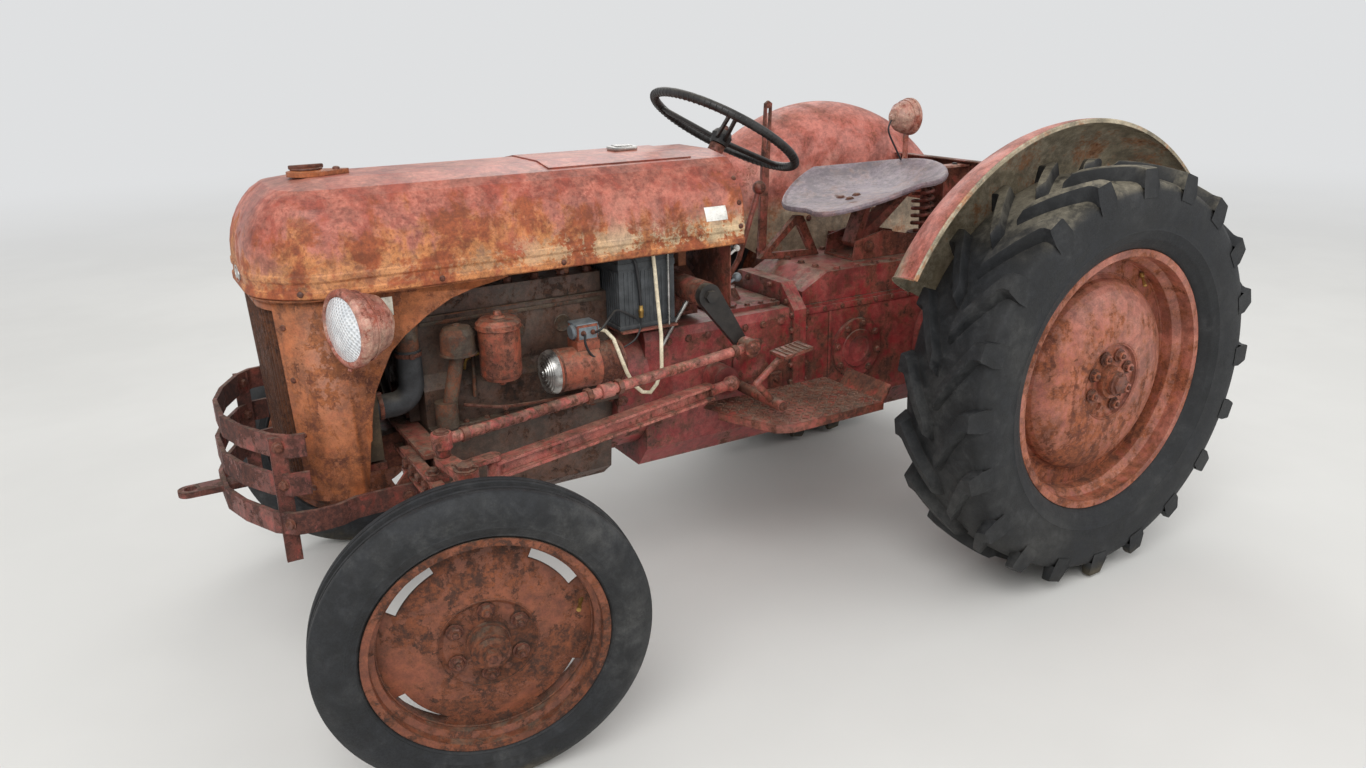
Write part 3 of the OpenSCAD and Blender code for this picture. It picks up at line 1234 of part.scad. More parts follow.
// Rear tyre: rings of points across the tread, raised at the lugs and swept back toward the shoulders
lug_spots = [0, 0.19, 0.27, 0.92];
lug_sweep = 17;
shoulder_y = rear_tyre_w / 2 - 36;
function tyre_rows() = let (
    floor_r = rear_tyre_r - lug_h,
    half = rear_tyre_w / 2,
    // The longest chord of the bead's ring just clears the round rim
    seat_r = (rear_rim_r - rear_lip + gap) / cos(180 / lugs * (lug_spots[3] - lug_spots[2]))
  ) [
    // Radius on the floor between lugs, radius on a lug, and y on each
    [floor_r, floor_r, 0, 0], [floor_r, rear_tyre_r, 13, 15],
    [floor_r - 3, rear_tyre_r - 3, shoulder_y + 4, shoulder_y],
    [floor_r - 20, rear_tyre_r - 20, half - 13, half - 6],
    [floor_r - 46, floor_r - 40, half - 1, half],
    [rear_rim_r + 50, rear_rim_r + 50, half - 3, half - 3],
    [rear_rim_r, rear_rim_r, rear_rim_w / 2 - 2 - gap, rear_rim_w / 2 - 2 - gap],
    [seat_r, seat_r, 0.34 * rear_rim_w + 2, 0.34 * rear_rim_w + 2]
  ];
function tyre_ring(row, side) = [for (k = [0 : lugs - 1], m = [0 : 3])
  let (
    on_lug = m < 2 ? 1 : 0,
    r = row[on_lug],
    y = row[2 + on_lug],
    a = 360 / lugs * (k + lug_spots[m] + (side < 0 ? 0.5 : 0)) + lug_sweep * min(y / shoulder_y, 1) + 270
  )
  [r * cos(a), side * y, r * sin(a)]];
module rear_tyre() {
  rows = tyre_rows();
  left = [for (j = [len(rows) - 1 : -1 : 0]) tyre_ring(rows[j], 1)];
  right = [for (j = [1 : len(rows) - 1]) tyre_ring(rows[j], -1)];
  rings = concat(left, right);
  n = 4 * lugs;
  m = len(rings);
  // The right rows start half a pitch on, which is two places round
  function at(j, i) = let (k = j % m) k * n + (i + (k < len(left) ? 0 : n - 2)) % n;
  translate([0, rear_tread / 2, rear_tyre_r]) polyhedron([for (ring = rings) each ring],
    [for (j = [0 : m - 1], i = [0 : n - 1]) each [
    [at(j, i), at(j, i + 1), at(j + 1, i + 1)], [at(j, i), at(j + 1, i + 1), at(j + 1, i)]]]);
}
module rear_wheel_left() place() color("#8d4a33") rear_wheel(1);
module rear_wheel_right() place() color("#8d4a33") mirror([0, 1, 0]) rear_wheel(-1);
module rear_tyre_left() place() color("#2b2b2b") rear_tyre();
module rear_tyre_right() place() color("#2b2b2b") mirror([0, 1, 0]) rear_tyre();

function column_point(d) = [gear_x - d * sin(column_lean), 0, gear_z + d * cos(column_lean)];
column_r = 22;
shaft_pin_r = 17;
gear_half = 96;
module steering_column() place() color("#5b4038") {
  // Gear housing on the gearbox, with arms out to the cross shafts
  difference() {
    union() {
      slab_y(-gear_half, gear_half) polygon([[gear_x - 78, gearbox_top_z + 6.3], [gear_x + 64,
        gearbox_top_z + 6.3],
        [gear_x + 56, gear_z + 20], [gear_x + 30, gear_z + gear_top], [gear_x - 40, gear_z + gear_top],
          [gear_x - 70, gear_z + 10]]);
      translate([gear_x, -drop_y + 20, gear_z]) about_y() cylinder(r = 34, h = 2 * drop_y - 40);
    }
    both_sides() translate([gear_x, 140, gear_z]) about_y() cylinder(r = shaft_pin_r + fit, h = 200);
  }
  difference() {
    rod([gear_x - 24, 0, gear_z + 40], column_point(column_len - 44), column_r);
    rod(column_point(column_len - 80), column_point(column_len), 9 + fit);
  }
}

spokes = 3;
module steering_wheel() place() color("#26231f") {
  grip_r = wheel_dia / 2 - wheel_grip / 2;
  translate(column_point(column_len)) rotate([0, -column_lean, 0]) {
    rotate_extrude() translate([grip_r, 0]) circle(d = wheel_grip, $fn = 32);
    translate([0, 0, -42]) cylinder(r1 = 26, r2 = 30, h = 26);
    translate([0, 0, -17]) cylinder(r1 = 30, r2 = 24, h = 12);
    translate([0, 0, -72]) cylinder(r = 9, h = 40);
    // Paired spoke rods that rise from the hub to the rim
    for (i = [0 : spokes - 1], s = [-1, 1]) rotate([0, 0, 60 + 360 * i / spokes])
      rod([20, s * 12, -28], [grip_r, s * 9, 0], 6);
  }
}

module drop_arm_of(side) {
  tip = drop_tip(side);
  mirror([0, side < 0 ? 1 : 0, 0]) {
    translate([gear_x, 144, gear_z]) about_y() cylinder(r = shaft_pin_r, h = drop_y - 144);
    // Tapered arm between its bosses, with the ball's stud
    slab_y(drop_y - 20 + 0.3, drop_y + 2) hull() {
      translate([gear_x, gear_z]) circle(r = 32, $fn = 48);
      translate([tip.x, tip.z]) circle(r = 17, $fn = 32);
    }
    translate([gear_x, drop_y, gear_z]) about_y() cylinder(r = 17, h = 14, $fn = 6);
    translate([tip.x, drop_y, tip.z]) about_y() cylinder(r = stud_r, h = link_side_y - drop_y + 16);
  }
}
stud_r = 9;
module drop_arm_left() place() color("#2d2a27") drop_arm_of(1);
module drop_arm_right() place() color("#2d2a27") drop_arm_of(-1);

socket_r = 24;
link_r = 13;
module drag_link(side) {
  tip = arm_tip(side, steer_at_rest);
  back = drop_tip(side);
  front = [tip.x, tip.y, ball_z];
  difference() {
    union() {
      rod(back, front, link_r);
      translate([back.x, back.y - side * 22, back.z]) rotate([-90 * side, 0, 0]) cylinder(r = socket_r,
        h = 44);
      translate([back.x, back.y + side * 20, back.z]) rotate([-90 * side, 0, 0]) cylinder(r1 = 18,
        r2 = 10, h = 8);
      translate([front.x, front.y, ball_z - 16]) cylinder(r = socket_r - 2, h = 34);
      // Rubber boot that just clears the steering arm
      translate([front.x, front.y, axle_boss_z1 + 27]) cylinder(r1 = 15, r2 = 19,
        h = ball_z - 15 - axle_boss_z1 - 27);
      rod(back + 0.5 * (front - back), back + 0.54 * (front - back), link_r + 5);
    }
    translate([back.x, 0, back.z]) rotate([-90 * side, 0, 0]) cylinder(r = stud_r + fit,
      h = link_side_y + 17);
  }
}
module drag_link_left() place() color("#8d5040") drag_link(1);
module drag_link_right() place() color("#8d5040") drag_link(-1);

// Hitch

module lift_arms() place() color("#7b3b30") {
  translate([lift_x, -lift_y - 12, lift_z]) about_y() cylinder(r = 25, h = 2 * lift_y + 24);
  both_sides() difference() {
    slab_y(lift_y - 11, lift_y + 11) hull() {
      translate([lift_x, lift_z]) circle(r = 40, $fn = 48);
      translate(lift_tip) circle(r = 22, $fn = 32);
    }
    translate([lift_tip.x, 0, lift_tip.y]) about_y() cylinder(r = rod_pin_r + fit, h = 400);
  }
}
rod_pin_r = 10;
module lift_rods() place() color("#7b3b30") both_sides() {
  foot_y = link_y_at(link_rod_at - 22) - link_t / 2 - 1 - 9;
  translate([lift_tip.x, lift_y - 14, lift_tip.y]) about_y() cylinder(r = rod_pin_r, h = 42);
  translate([lift_tip.x, lift_y + 11.3, lift_tip.y]) about_y() cylinder(r = 20, h = 18);
  rod([lift_tip.x, lift_y + 22, lift_tip.y], [rod_foot.x, foot_y, rod_foot.y], 12);
  rod([lift_tip.x, lift_y + 22, lift_tip.y] * 0.35 + [rod_foot.x, foot_y, rod_foot.y] * 0.65,
      [lift_tip.x, lift_y + 22, lift_tip.y] * 0.6 + [rod_foot.x, foot_y, rod_foot.y] * 0.4, 19);
  translate([rod_foot.x, foot_y - 9, rod_foot.y]) about_y() cylinder(r = 21, h = 18);
}
function link_y_at(d) = link_front_y + (link_rear_y - link_front_y) * (d - 60) / (link_len - 130);
module lower_links() place() color("#7b3b30") both_sides() {
  tilt = link_drop;
  translate([link_pin_x, 0, link_z]) rotate([0, -tilt, 0]) difference() {
    union() {
      // Flat bar with its front eye and rear ball
      slab_z(-26, 26) strip([[-10, link_front_y], [-60, link_front_y], [-link_len + 70, link_rear_y],
        [-link_len, link_rear_y]], link_t);
      translate([0, link_front_y - link_t / 2 + gap, 0]) about_y() cylinder(r = link_eye_r,
        h = link_t);
      translate([-link_len, link_rear_y - 20, 0]) about_y() cylinder(r = link_eye_r, h = 40);
    }
    about_y() cylinder(r = link_pin_r + fit, h = 600);
    translate([-link_len, 0, 0]) about_y() cylinder(r = link_bore_r, h = 600);
  }
}

engine_block();
oil_pan();
cylinder_head();
manifold();
exhaust();
air_cleaner();
oil_filter();
oil_filler();
starter();
generator();
fan();
radiator();
hoses();
battery();
battery_cable();
dash_panel();
fuel_tank();
gearbox_case();
centre_case();
lift_cover();
axle_housings();
fender_left();
fender_right();
step_plates();
pedals();
levers();
seat();
seat_support();
rear_lamp();
cross_panel();
front_axle();
radius_rods();
bumper();
hood();
grille_shell();
grille_bars();
headlamps();
filler_door();
radiator_cap();
knuckle_left();
knuckle_right();
front_wheel_left();
front_wheel_right();
front_tyre_left();
front_tyre_right();
rear_wheel_left();
rear_wheel_right();
rear_tyre_left();
rear_tyre_right();
steering_column();
steering_wheel();
drop_arm_left();
drop_arm_right();
drag_link_left();
drag_link_right();
lift_arms();
lower_links();
lift_rods();
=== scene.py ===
"""A weathered vintage field tractor: materials, fittings, stage and camera for the CAD nodes."""

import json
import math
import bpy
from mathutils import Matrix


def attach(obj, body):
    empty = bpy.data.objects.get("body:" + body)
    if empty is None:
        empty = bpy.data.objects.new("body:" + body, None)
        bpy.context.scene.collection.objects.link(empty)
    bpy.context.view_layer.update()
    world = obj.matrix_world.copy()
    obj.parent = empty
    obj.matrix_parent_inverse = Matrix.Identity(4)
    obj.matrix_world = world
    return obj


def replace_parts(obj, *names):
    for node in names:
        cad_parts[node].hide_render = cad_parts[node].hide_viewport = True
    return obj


bl_info = {
    "name": "Vintage Field Tractor",
    "version": (1, 0, 0),
    "blender": (4, 5, 0),
    "location": "3D View > Sidebar > Tractor",
    "description": "Dresses the tractor's CAD nodes with weathered materials, small fittings and a studio stage",
    "category": "Object",
}

import bmesh
import bpy
from mathutils import Matrix, Vector
from mathutils.bvhtree import BVHTree

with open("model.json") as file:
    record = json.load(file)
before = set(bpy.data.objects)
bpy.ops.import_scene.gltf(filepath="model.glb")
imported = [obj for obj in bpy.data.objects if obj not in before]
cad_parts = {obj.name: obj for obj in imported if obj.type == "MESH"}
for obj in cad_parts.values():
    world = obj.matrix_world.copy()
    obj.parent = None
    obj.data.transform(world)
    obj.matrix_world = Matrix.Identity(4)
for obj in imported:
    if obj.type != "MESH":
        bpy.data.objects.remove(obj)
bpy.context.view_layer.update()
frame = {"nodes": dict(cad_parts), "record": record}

# Every piece here is drawn in millimetres: x ahead of the rear axle, y left of the middle, z above the
# ground. TO_FRAME turns that into the shared frame in metres.
TO_FRAME = Matrix.Translation((-0.7546008, 0, 0)) @ Matrix.Scale(0.001, 4)
FROM_FRAME = TO_FRAME.inverted()
REAR_AXLE = Vector((0.0, 0.0, 595.0))
HALF_TREAD = 660.0
REAR_RADIUS = 595.0
SIDES = (1, -1)
SIDE_NAMES = {1: "left", -1: "right"}
AHEAD, LEFT, UP = Vector((1, 0, 0)), Vector((0, 1, 0)), Vector((0, 0, 1))
BACK, DOWN = Vector((-1, 0, 0)), Vector((0, 0, -1))


def linear(colour):
    """A screen colour, given as red, green and blue up to 255, as the shader nodes take it."""
    shares = [c / 255 for c in colour]
    return (*(c / 12.92 if c <= 0.04045 else ((c + 0.055) / 1.055) ** 2.4 for c in shares), 1.0)


# ---------------------------------------------------------------- materials


class Graph:
    """A material under construction, with short calls for the nodes that the finishes share."""

    def __init__(self, name, seed=0.0):
        self.material = bpy.data.materials.new(name)
        self.material.use_nodes = True
        self.tree = self.material.node_tree
        self.tree.nodes.clear()
        self.shader = self.tree.nodes.new("ShaderNodeBsdfPrincipled")
        out = self.tree.nodes.new("ShaderNodeOutputMaterial")
        self.tree.links.new(self.shader.outputs["BSDF"], out.inputs["Surface"])
        self.place = self.tree.nodes.new("ShaderNodeTexCoord").outputs["Object"]
        self.coords = self.node("ShaderNodeVectorMath", {0: self.place, 1: (seed, seed * 0.7, seed * 1.3)},
                                operation="ADD").outputs[0]
        self.normal = self.tree.nodes.new("ShaderNodeNewGeometry").outputs["Normal"]
        self.soft = None

    def node(self, kind, inputs=(), **settings):
        """A new node with its settings and inputs."""
        made = self.tree.nodes.new(kind)
        for key, value in settings.items():
            setattr(made, key, value)
        self.feed(made, dict(inputs))
        return made

    def feed(self, node, inputs):
        """Links the sockets and sets the plain values on a node's inputs."""
        for key, value in inputs.items():
            if isinstance(value, bpy.types.NodeSocket):
                self.tree.links.new(value, node.inputs[key])
            else:
                node.inputs[key].default_value = value

    def noise(self, scale, detail=5.0, roughness=0.6, distortion=0.0, stretch=None):
        """Fractal noise from 0 to 1. stretch multiplies the coordinates, for runs and streaks."""
        where = self.coords
        if stretch:
            where = self.node("ShaderNodeVectorMath", {0: where, 1: stretch}, operation="MULTIPLY").outputs[0]
        return self.node("ShaderNodeTexNoise", {"Vector": where, "Scale": scale, "Detail": detail,
                                                "Roughness": roughness, "Distortion": distortion}).outputs["Fac"]

    def cell_edges(self, scale):
        """Distance to the nearest edge between cells."""
        return self.node("ShaderNodeTexVoronoi", {"Vector": self.coords, "Scale": scale},
                         feature="DISTANCE_TO_EDGE").outputs["Distance"]

    def math(self, operation, a, b=0.0, clamp=False):
        """One arithmetic node."""
        return self.node("ShaderNodeMath", {0: a, 1: b}, operation=operation, use_clamp=clamp).outputs[0]

    def times(self, a, b):
        """Product of two values."""
        return self.math("MULTIPLY", a, b)

    def chain(self, socket, weight, base):
        """base with a weighted socket added."""
        return self.node("ShaderNodeMath", {0: socket, 1: weight, 2: base}, operation="MULTIPLY_ADD").outputs[0]

    def total(self, *pairs):
        """Weighted sum of (socket, weight) pairs."""
        result = self.times(*pairs[0])
        for socket, weight in pairs[1:]:
            result = self.chain(socket, weight, result)
        return result

    def shifted(self, field, weight, base):
        """base moved up and down by a noise field about its middle."""
        return self.chain(self.math("SUBTRACT", field, 0.5), weight, base)

    def step(self, value, low, high, to_min=0.0, to_max=1.0):
        """Smooth step from to_min at low to to_max at high."""
        return self.node("ShaderNodeMapRange", {"Value": value, "From Min": low, "From Max": high,
                                                "To Min": to_min, "To Max": to_max},
                         interpolation_type="SMOOTHSTEP").outputs["Result"]

    def mix(self, share, a, b, blend="MIX"):
        """Colour a turning into colour b as share goes from 0 to 1. Three whole numbers are a screen colour."""
        a, b = (linear(c) if isinstance(c, tuple) and len(c) == 3 else c for c in (a, b))
        return self.node("ShaderNodeMix", {0: share, 6: a, 7: b}, data_type="RGBA", blend_type=blend).outputs[2]

    def axis(self, index, of=None):
        """One coordinate of the place on the piece, or of another vector."""
        return self.node("ShaderNodeSeparateXYZ", {0: of or self.place}).outputs[index]

    def dusted(self, colour, patches, rise, spread, share, tone):
        """Dust in patches on the faces that look up."""
        lying = self.times(self.step(self.axis(2, self.normal), *rise), self.step(patches, *spread, 1.0))
        return self.mix(self.times(lying, share), colour, tone)

    def worn_edges(self, radius):
        """1 on convex and concave edges, 0 on open faces."""
        self.soft = self.node("ShaderNodeBevel", {"Radius": radius}, samples=4).outputs[0]
        same = self.node("ShaderNodeVectorMath", {0: self.soft, 1: self.normal},
                         operation="DOT_PRODUCT").outputs["Value"]
        return self.step(same, 0.985, 0.86)

    def crevices(self, distance):
        """1 in corners and gaps, 0 in the open."""
        open_share = self.node("ShaderNodeAmbientOcclusion", {"Distance": distance}, samples=4).outputs["AO"]
        return self.step(open_share, 0.85, 0.35)

    def bumps(self, height, strength, distance=0.002):
        """Relief for the shader, on top of the rounded edges if there are any."""
        inputs = {"Height": height, "Strength": strength, "Distance": distance}
        if self.soft is not None:
            inputs["Normal"] = self.soft
        return self.node("ShaderNodeBump", inputs).outputs[0]

    def weather(self, colour, strength):
        """Uneven fading: darker and lighter blotches at three sizes."""
        blotch = self.total((self.noise(8, 8, 0.72, 0.5), 0.42), (self.noise(48, 8, 0.76, 0.3), 0.36),
                            (self.noise(260, 5, 0.8), 0.22))
        shade = self.step(blotch, 0.41, 0.59, 1.0 - 0.45 * strength, 1.0 + 0.24 * strength)
        grey = self.node("ShaderNodeCombineXYZ", {0: shade, 1: shade, 2: shade}).outputs[0]
        return self.mix(1.0, colour, grey, "MULTIPLY")

    def finish(self, colour, roughness, normal, metallic=0.0, weather=1.0):
        """Connects the shader and hands over the material."""
        self.feed(self.shader, {"Base Color": self.weather(colour, weather), "Roughness": roughness,
                                "Metallic": metallic, "Normal": normal})
        return self.material


RUST_DARK = (78, 42, 30)
RUST_MID = (122, 66, 42)
DUST = (150, 138, 118)
# Dark colour for grime specks and patches, and for painted shade in corners and gaps.
GRIME_AND_SHADE = (58, 48, 40)


def rusted_paint(name, paint, faded, cover, seed=0.0, rust=(RUST_DARK, RUST_MID), patch=3.0, dust=0.35,
                 grime_and_shade=0.0, streak=0.25, edge=0.003):
    """Old paint over metal. cover is the share that has gone to rust, from 0 to 1. The grime setting darkens random
    patches with grime, and darkens corners and gaps with painted shade.
    """
    g = Graph(name, seed)
    large = g.noise(patch, 8, 0.66, 0.35)
    medium = g.noise(patch * 5.5, 9, 0.72, 0.3)
    fine = g.noise(90, 7, 0.75)
    grain = g.noise(380, 4, 0.75)
    runs = g.noise(1.0, 6, 0.65, 0.2, stretch=(34, 34, 3.2))
    field = g.total((large, 0.38), (medium, 0.34), (fine, 0.16), (runs, 0.12))
    field = g.chain(g.worn_edges(edge), 0.08, field)
    cut = 0.575 - 0.16 * cover
    halo = g.step(field, cut - 0.05, cut, 0.0, 0.75)
    rusty = g.step(field, cut, cut + 0.02, 0.0, 0.95)
    skin = g.mix(g.step(medium, 0.42, 0.58), paint, faded)
    skin = g.mix(g.step(large, 0.58, 0.44, 0.0, 0.5), skin, faded)
    metal = g.mix(g.step(g.total((g.noise(patch * 9, 8, 0.74), 0.6), (fine, 0.4)), 0.43, 0.57), rust[0], rust[1])
    colour = g.mix(halo, skin, rust[1])
    colour = g.mix(rusty, colour, metal)
    colour = g.mix(g.step(runs, 0.55, 0.66, 0.0, streak), colour, rust[0])
    colour = g.mix(g.step(grain, 0.58, 0.64, 0.0, 0.6), colour, rust[0])
    if grime_and_shade:
        # Painted shade: the grime colour darkens corners and gaps found by ambient occlusion. The noise patches
        # added on the next line are real grime.
        dirt_and_shade = g.times(g.crevices(0.06), g.step(large, 0.35, 0.6, 0.5, 1.0))
        dirt_and_shade = g.math("ADD", dirt_and_shade, g.step(medium, 0.55, 0.66, 0.0, 0.6), clamp=True)
        colour = g.mix(g.times(dirt_and_shade, grime_and_shade), colour, GRIME_AND_SHADE)
    colour = g.dusted(colour, medium, (0.35, 0.95), (0.42, 0.58, 0.2), dust, DUST)
    rough = g.shifted(fine, 0.16, g.step(rusty, 0.0, 1.0, 0.48, 0.88))
    pits = g.total((medium, 0.4), (fine, 0.4), (grain, 0.2))
    height = g.times(pits, g.step(rusty, 0.0, 1.0, 0.35, 1.0))
    height = g.chain(rusty, -0.2, height)
    return g.finish(colour, rough, g.bumps(height, 0.6, 0.002))


def hood_paint():
    """Faded red on the crown that has gone to orange rust on the sides, with pale bare patches at the belt."""
    g = Graph("hood_paint", 3.1)
    large = g.noise(2.4, 6, 0.62, 0.4)
    medium = g.noise(13, 8, 0.70, 0.3)
    fine = g.noise(130, 6, 0.72)
    grain = g.noise(460, 3, 0.7)
    runs = g.noise(1.0, 6, 0.62, 0.25, stretch=(20, 12, 3.0))
    height = g.axis(2)
    length = g.axis(0)
    low = g.shifted(medium, 0.40, g.shifted(runs, 0.25, g.shifted(large, 0.30, height)))
    side = g.step(low, 1.16, 1.09)
    red = g.mix(g.step(medium, 0.42, 0.58), (152, 72, 56), (180, 108, 90))
    red = g.mix(g.step(g.total((medium, 0.5), (fine, 0.5)), 0.53, 0.58, 0.0, 0.7), red, (132, 62, 48))
    red = g.mix(g.step(large, 0.55, 0.62, 0.0, 0.5), red, (190, 126, 106))
    orange = g.mix(g.step(medium, 0.43, 0.57), (152, 78, 44), (196, 128, 78))
    orange = g.mix(g.step(fine, 0.52, 0.60, 0.0, 0.7), orange, (118, 58, 38))
    orange = g.mix(g.step(large, 0.44, 0.38, 0.0, 0.7), orange, (158, 80, 64))
    colour = g.mix(side, red, orange)
    bare = g.total((medium, 0.40), (runs, 0.22), (fine, 0.23), (g.noise(4, 6, 0.66), 0.15))
    band = g.times(g.step(height, 1.005, 1.03), g.step(height, 1.12, 1.04))
    lower = g.step(g.math("ADD", bare, g.times(band, 0.055)), 0.545, 0.575)
    ahead = g.step(length, 1.15, 0.2, 0.15, 1.0)
    bare = g.times(g.times(lower, band), ahead)
    colour = g.mix(g.times(bare, 0.85), colour, (204, 184, 148))
    edges = g.worn_edges(0.004)
    colour = g.mix(g.times(edges, g.step(medium, 0.4, 0.6, 0.1, 0.7)), colour, RUST_DARK)
    colour = g.mix(g.step(grain, 0.50, 0.72, 0.0, 0.28), colour, (104, 58, 42))
    colour = g.dusted(colour, medium, (0.7, 1.0), (0.3, 0.7, 0.2), 0.22, (186, 150, 132))
    rough = g.chain(medium, 0.25, g.math("SUBTRACT", g.step(side, 0.0, 1.0, 0.42, 0.72), 0.12))
    bumps = g.total((medium, 0.40), (fine, 0.42), (grain, 0.18))
    return g.finish(colour, rough, g.bumps(bumps, 0.32, 0.0012))


def fender_paint():
    """Faded red outside; grey primer and rust in the hollow side that faces the tyre."""
    g = Graph("fender_paint", 5.2)
    large = g.noise(2.6, 6, 0.62, 0.3)
    medium = g.noise(12, 8, 0.67, 0.3)
    fine = g.noise(130, 6, 0.72)
    runs = g.noise(1.0, 6, 0.62, 0.2, stretch=(22, 22, 2.6))
    red = g.mix(g.step(medium, 0.42, 0.58), (190, 116, 102), (170, 92, 78))
    red = g.mix(g.step(large, 0.52, 0.60, 0.0, 0.6), red, (204, 150, 134))
    red = g.mix(g.step(g.total((medium, 0.5), (fine, 0.5)), 0.55, 0.59, 0.0, 0.8), red, RUST_MID)
    grey = g.mix(g.step(medium, 0.42, 0.58), (150, 138, 114), (180, 168, 144))
    stain = g.total((large, 0.28), (medium, 0.34), (runs, 0.18), (fine, 0.20))
    grey = g.mix(g.step(stain, 0.50, 0.56, 0.0, 0.85), grey, (168, 112, 72))
    grey = g.mix(g.step(stain, 0.57, 0.60, 0.0, 0.85), grey, (112, 64, 42))
    height = g.axis(2)
    across = g.axis(1)
    facing = g.times(g.axis(1, g.normal), g.math("SIGN", across))
    hollow = g.step(facing, 0.02, 0.2)
    inward = g.times(g.step(facing, -0.15, -0.5),
                    g.step(g.shifted(large, 0.3, height), 1.0, 0.94))
    bare = g.math("MAXIMUM", hollow, g.times(inward, 0.9))
    bare = g.math("MAXIMUM", bare, g.step(g.axis(2, g.normal), -0.15, -0.4))
    colour = g.mix(bare, red, grey)
    edges = g.worn_edges(0.003)
    colour = g.mix(g.times(edges, 0.6), colour, RUST_DARK)
    colour = g.dusted(colour, medium, (0.5, 1.0), (0.3, 0.7, 0.2), 0.25, DUST)
    rough = g.step(medium, 0.2, 0.8, 0.42, 0.78)
    bumps = g.total((medium, 0.4), (fine, 0.6))
    return g.finish(colour, rough, g.bumps(bumps, 0.32, 0.0013))


def rubber(name, dark, pale, dust, seed=0.0):
    """Aged tyre rubber: dust in the low relief, scuffs on the outer faces, fine weather cracks."""
    g = Graph(name, seed)
    large = g.noise(2.5, 5, 0.6, 0.3)
    medium = g.noise(20, 7, 0.7, 0.4)
    fine = g.noise(220, 3, 0.7)
    cracks = g.step(g.cell_edges(150), 0.03, 0.0)
    colour = g.mix(g.step(medium, 0.3, 0.7), dark, pale)
    worn = g.total((large, 0.5), (medium, 0.35), (fine, 0.15))
    colour = g.mix(g.step(worn, 0.48, 0.66, 0.0, dust), colour, (104, 102, 96))
    colour = g.mix(g.times(g.crevices(0.02), 0.4 * dust), colour, (92, 86, 76))
    top = g.times(g.step(g.axis(2, g.normal), 0.25, 0.8), g.step(g.axis(2), 0.95, 1.15))
    top = g.times(top, g.step(g.total((medium, 0.6), (large, 0.4)), 0.42, 0.56, 0.15, 0.85))
    colour = g.mix(top, colour, (132, 124, 106))
    soil = g.step(g.shifted(medium, 0.12, g.axis(2)), 0.06, 0.0, 0.0, 0.6)
    colour = g.mix(soil, colour, (96, 86, 64))
    rough = g.step(g.total((medium, 0.6), (fine, 0.4)), 0.3, 0.7, 0.52, 0.86)
    height = g.total((medium, 0.3), (fine, 0.5), (cracks, -0.35))
    return g.finish(colour, rough, g.bumps(height, 0.4, 0.0012))


def cast_metal(name, base, oily, rust, seed):
    """Rough casting under oil and field dirt, with painted shade in its corners and gaps."""
    g = Graph(name, seed)
    large = g.noise(4, 6, 0.62, 0.3)
    medium = g.noise(22, 8, 0.68, 0.3)
    fine = g.noise(190, 4, 0.7)
    colour = g.mix(g.step(medium, 0.32, 0.68), base, oily)
    colour = g.mix(g.step(g.total((large, 0.5), (medium, 0.35), (fine, 0.15)), 0.494, 0.574), colour, rust)
    # Painted shade: near-black in corners and gaps found by ambient occlusion.
    colour = g.mix(g.times(g.crevices(0.05), 0.75), colour, (34, 28, 24))
    colour = g.dusted(colour, medium, (0.35, 0.9), (0.3, 0.7, 0.35), 0.5, (112, 98, 78))
    rough = g.step(g.total((large, 0.4), (medium, 0.6)), 0.36, 0.62, 0.42, 0.88)
    height = g.total((medium, 0.45), (fine, 0.55))
    return g.finish(colour, rough, g.bumps(height, 0.5, 0.002))


def plain(name, dark, pale, roughness, seed, metallic=0.0, dust=0.25, bump=0.2):
    """Small fittings: two close tones, specks of grime, dust on top."""
    g = Graph(name, seed)
    medium = g.noise(24, 6, 0.65, 0.3)
    fine = g.noise(216, 3, 0.7)
    colour = g.mix(g.step(medium, 0.3, 0.7), dark, pale)
    colour = g.mix(g.step(fine, 0.56, 0.72, 0.0, 0.35), colour, GRIME_AND_SHADE)
    colour = g.dusted(colour, medium, (0.3, 0.95), (0.3, 0.7, 0.3), dust, DUST)
    rough = g.step(g.total((medium, 0.6), (fine, 0.4)), 0.3, 0.7, *roughness)
    return g.finish(colour, rough, g.bumps(g.total((medium, 0.5), (fine, 0.5)), bump, 0.001), metallic, 0.6)


def core():
    """Radiator core: fine fins with painted shade in the gaps between them, and dusty tubes."""
    g = Graph("radiator_core", 10.0)
    fins = g.math("SINE", g.times(g.axis(2), 2200.0))
    tubes = g.math("SINE", g.times(g.axis(1), 620.0))
    medium = g.noise(20, 6, 0.66)
    # The near-black half of each fin stripe is painted shade in the gaps between the fins. The lighter half is the
    # fins' edges.
    colour = g.mix(g.step(fins, -0.4, 0.6), (20, 19, 18), (66, 58, 48))
    colour = g.mix(g.step(tubes, 0.5, 0.95), colour, (88, 72, 52))
    colour = g.mix(g.step(medium, 0.45, 0.7, 0.0, 0.6), colour, (92, 76, 56))
    height = g.total((fins, 0.5), (tubes, 0.3), (medium, 0.2))
    return g.finish(colour, g.step(medium, 0.3, 0.7, 0.5, 0.9), g.bumps(height, 0.4, 0.001))


def lens_glass():
    """Silvered lamp glass: bright and streaked, with duller and dustier patches."""
    g = Graph("lens_glass", 14.0)
    medium = g.noise(30, 6, 0.66, 0.4)
    columns = g.math("SINE", g.times(g.total((g.axis(1), 0.94), (g.axis(0), 0.34)), 800.0))
    rows = g.math("SINE", g.times(g.axis(2), 520.0))
    flutes = g.times(columns, rows)
    colour = g.mix(g.step(medium, 0.35, 0.65), (222, 226, 230), (246, 248, 250))
    colour = g.mix(g.step(flutes, 0.0, 0.8, 0.0, 0.5), colour, (138, 146, 150))
    colour = g.mix(g.step(medium, 0.60, 0.70, 0.0, 0.3), colour, (168, 158, 138))
    g.shader.inputs["Coat Weight"].default_value = 0.7
    g.shader.inputs["Coat Roughness"].default_value = 0.06
    return g.finish(colour, g.step(medium, 0.3, 0.7, 0.12, 0.32), g.bumps(flutes, 0.7, 0.0016), 0.2, 0.15)


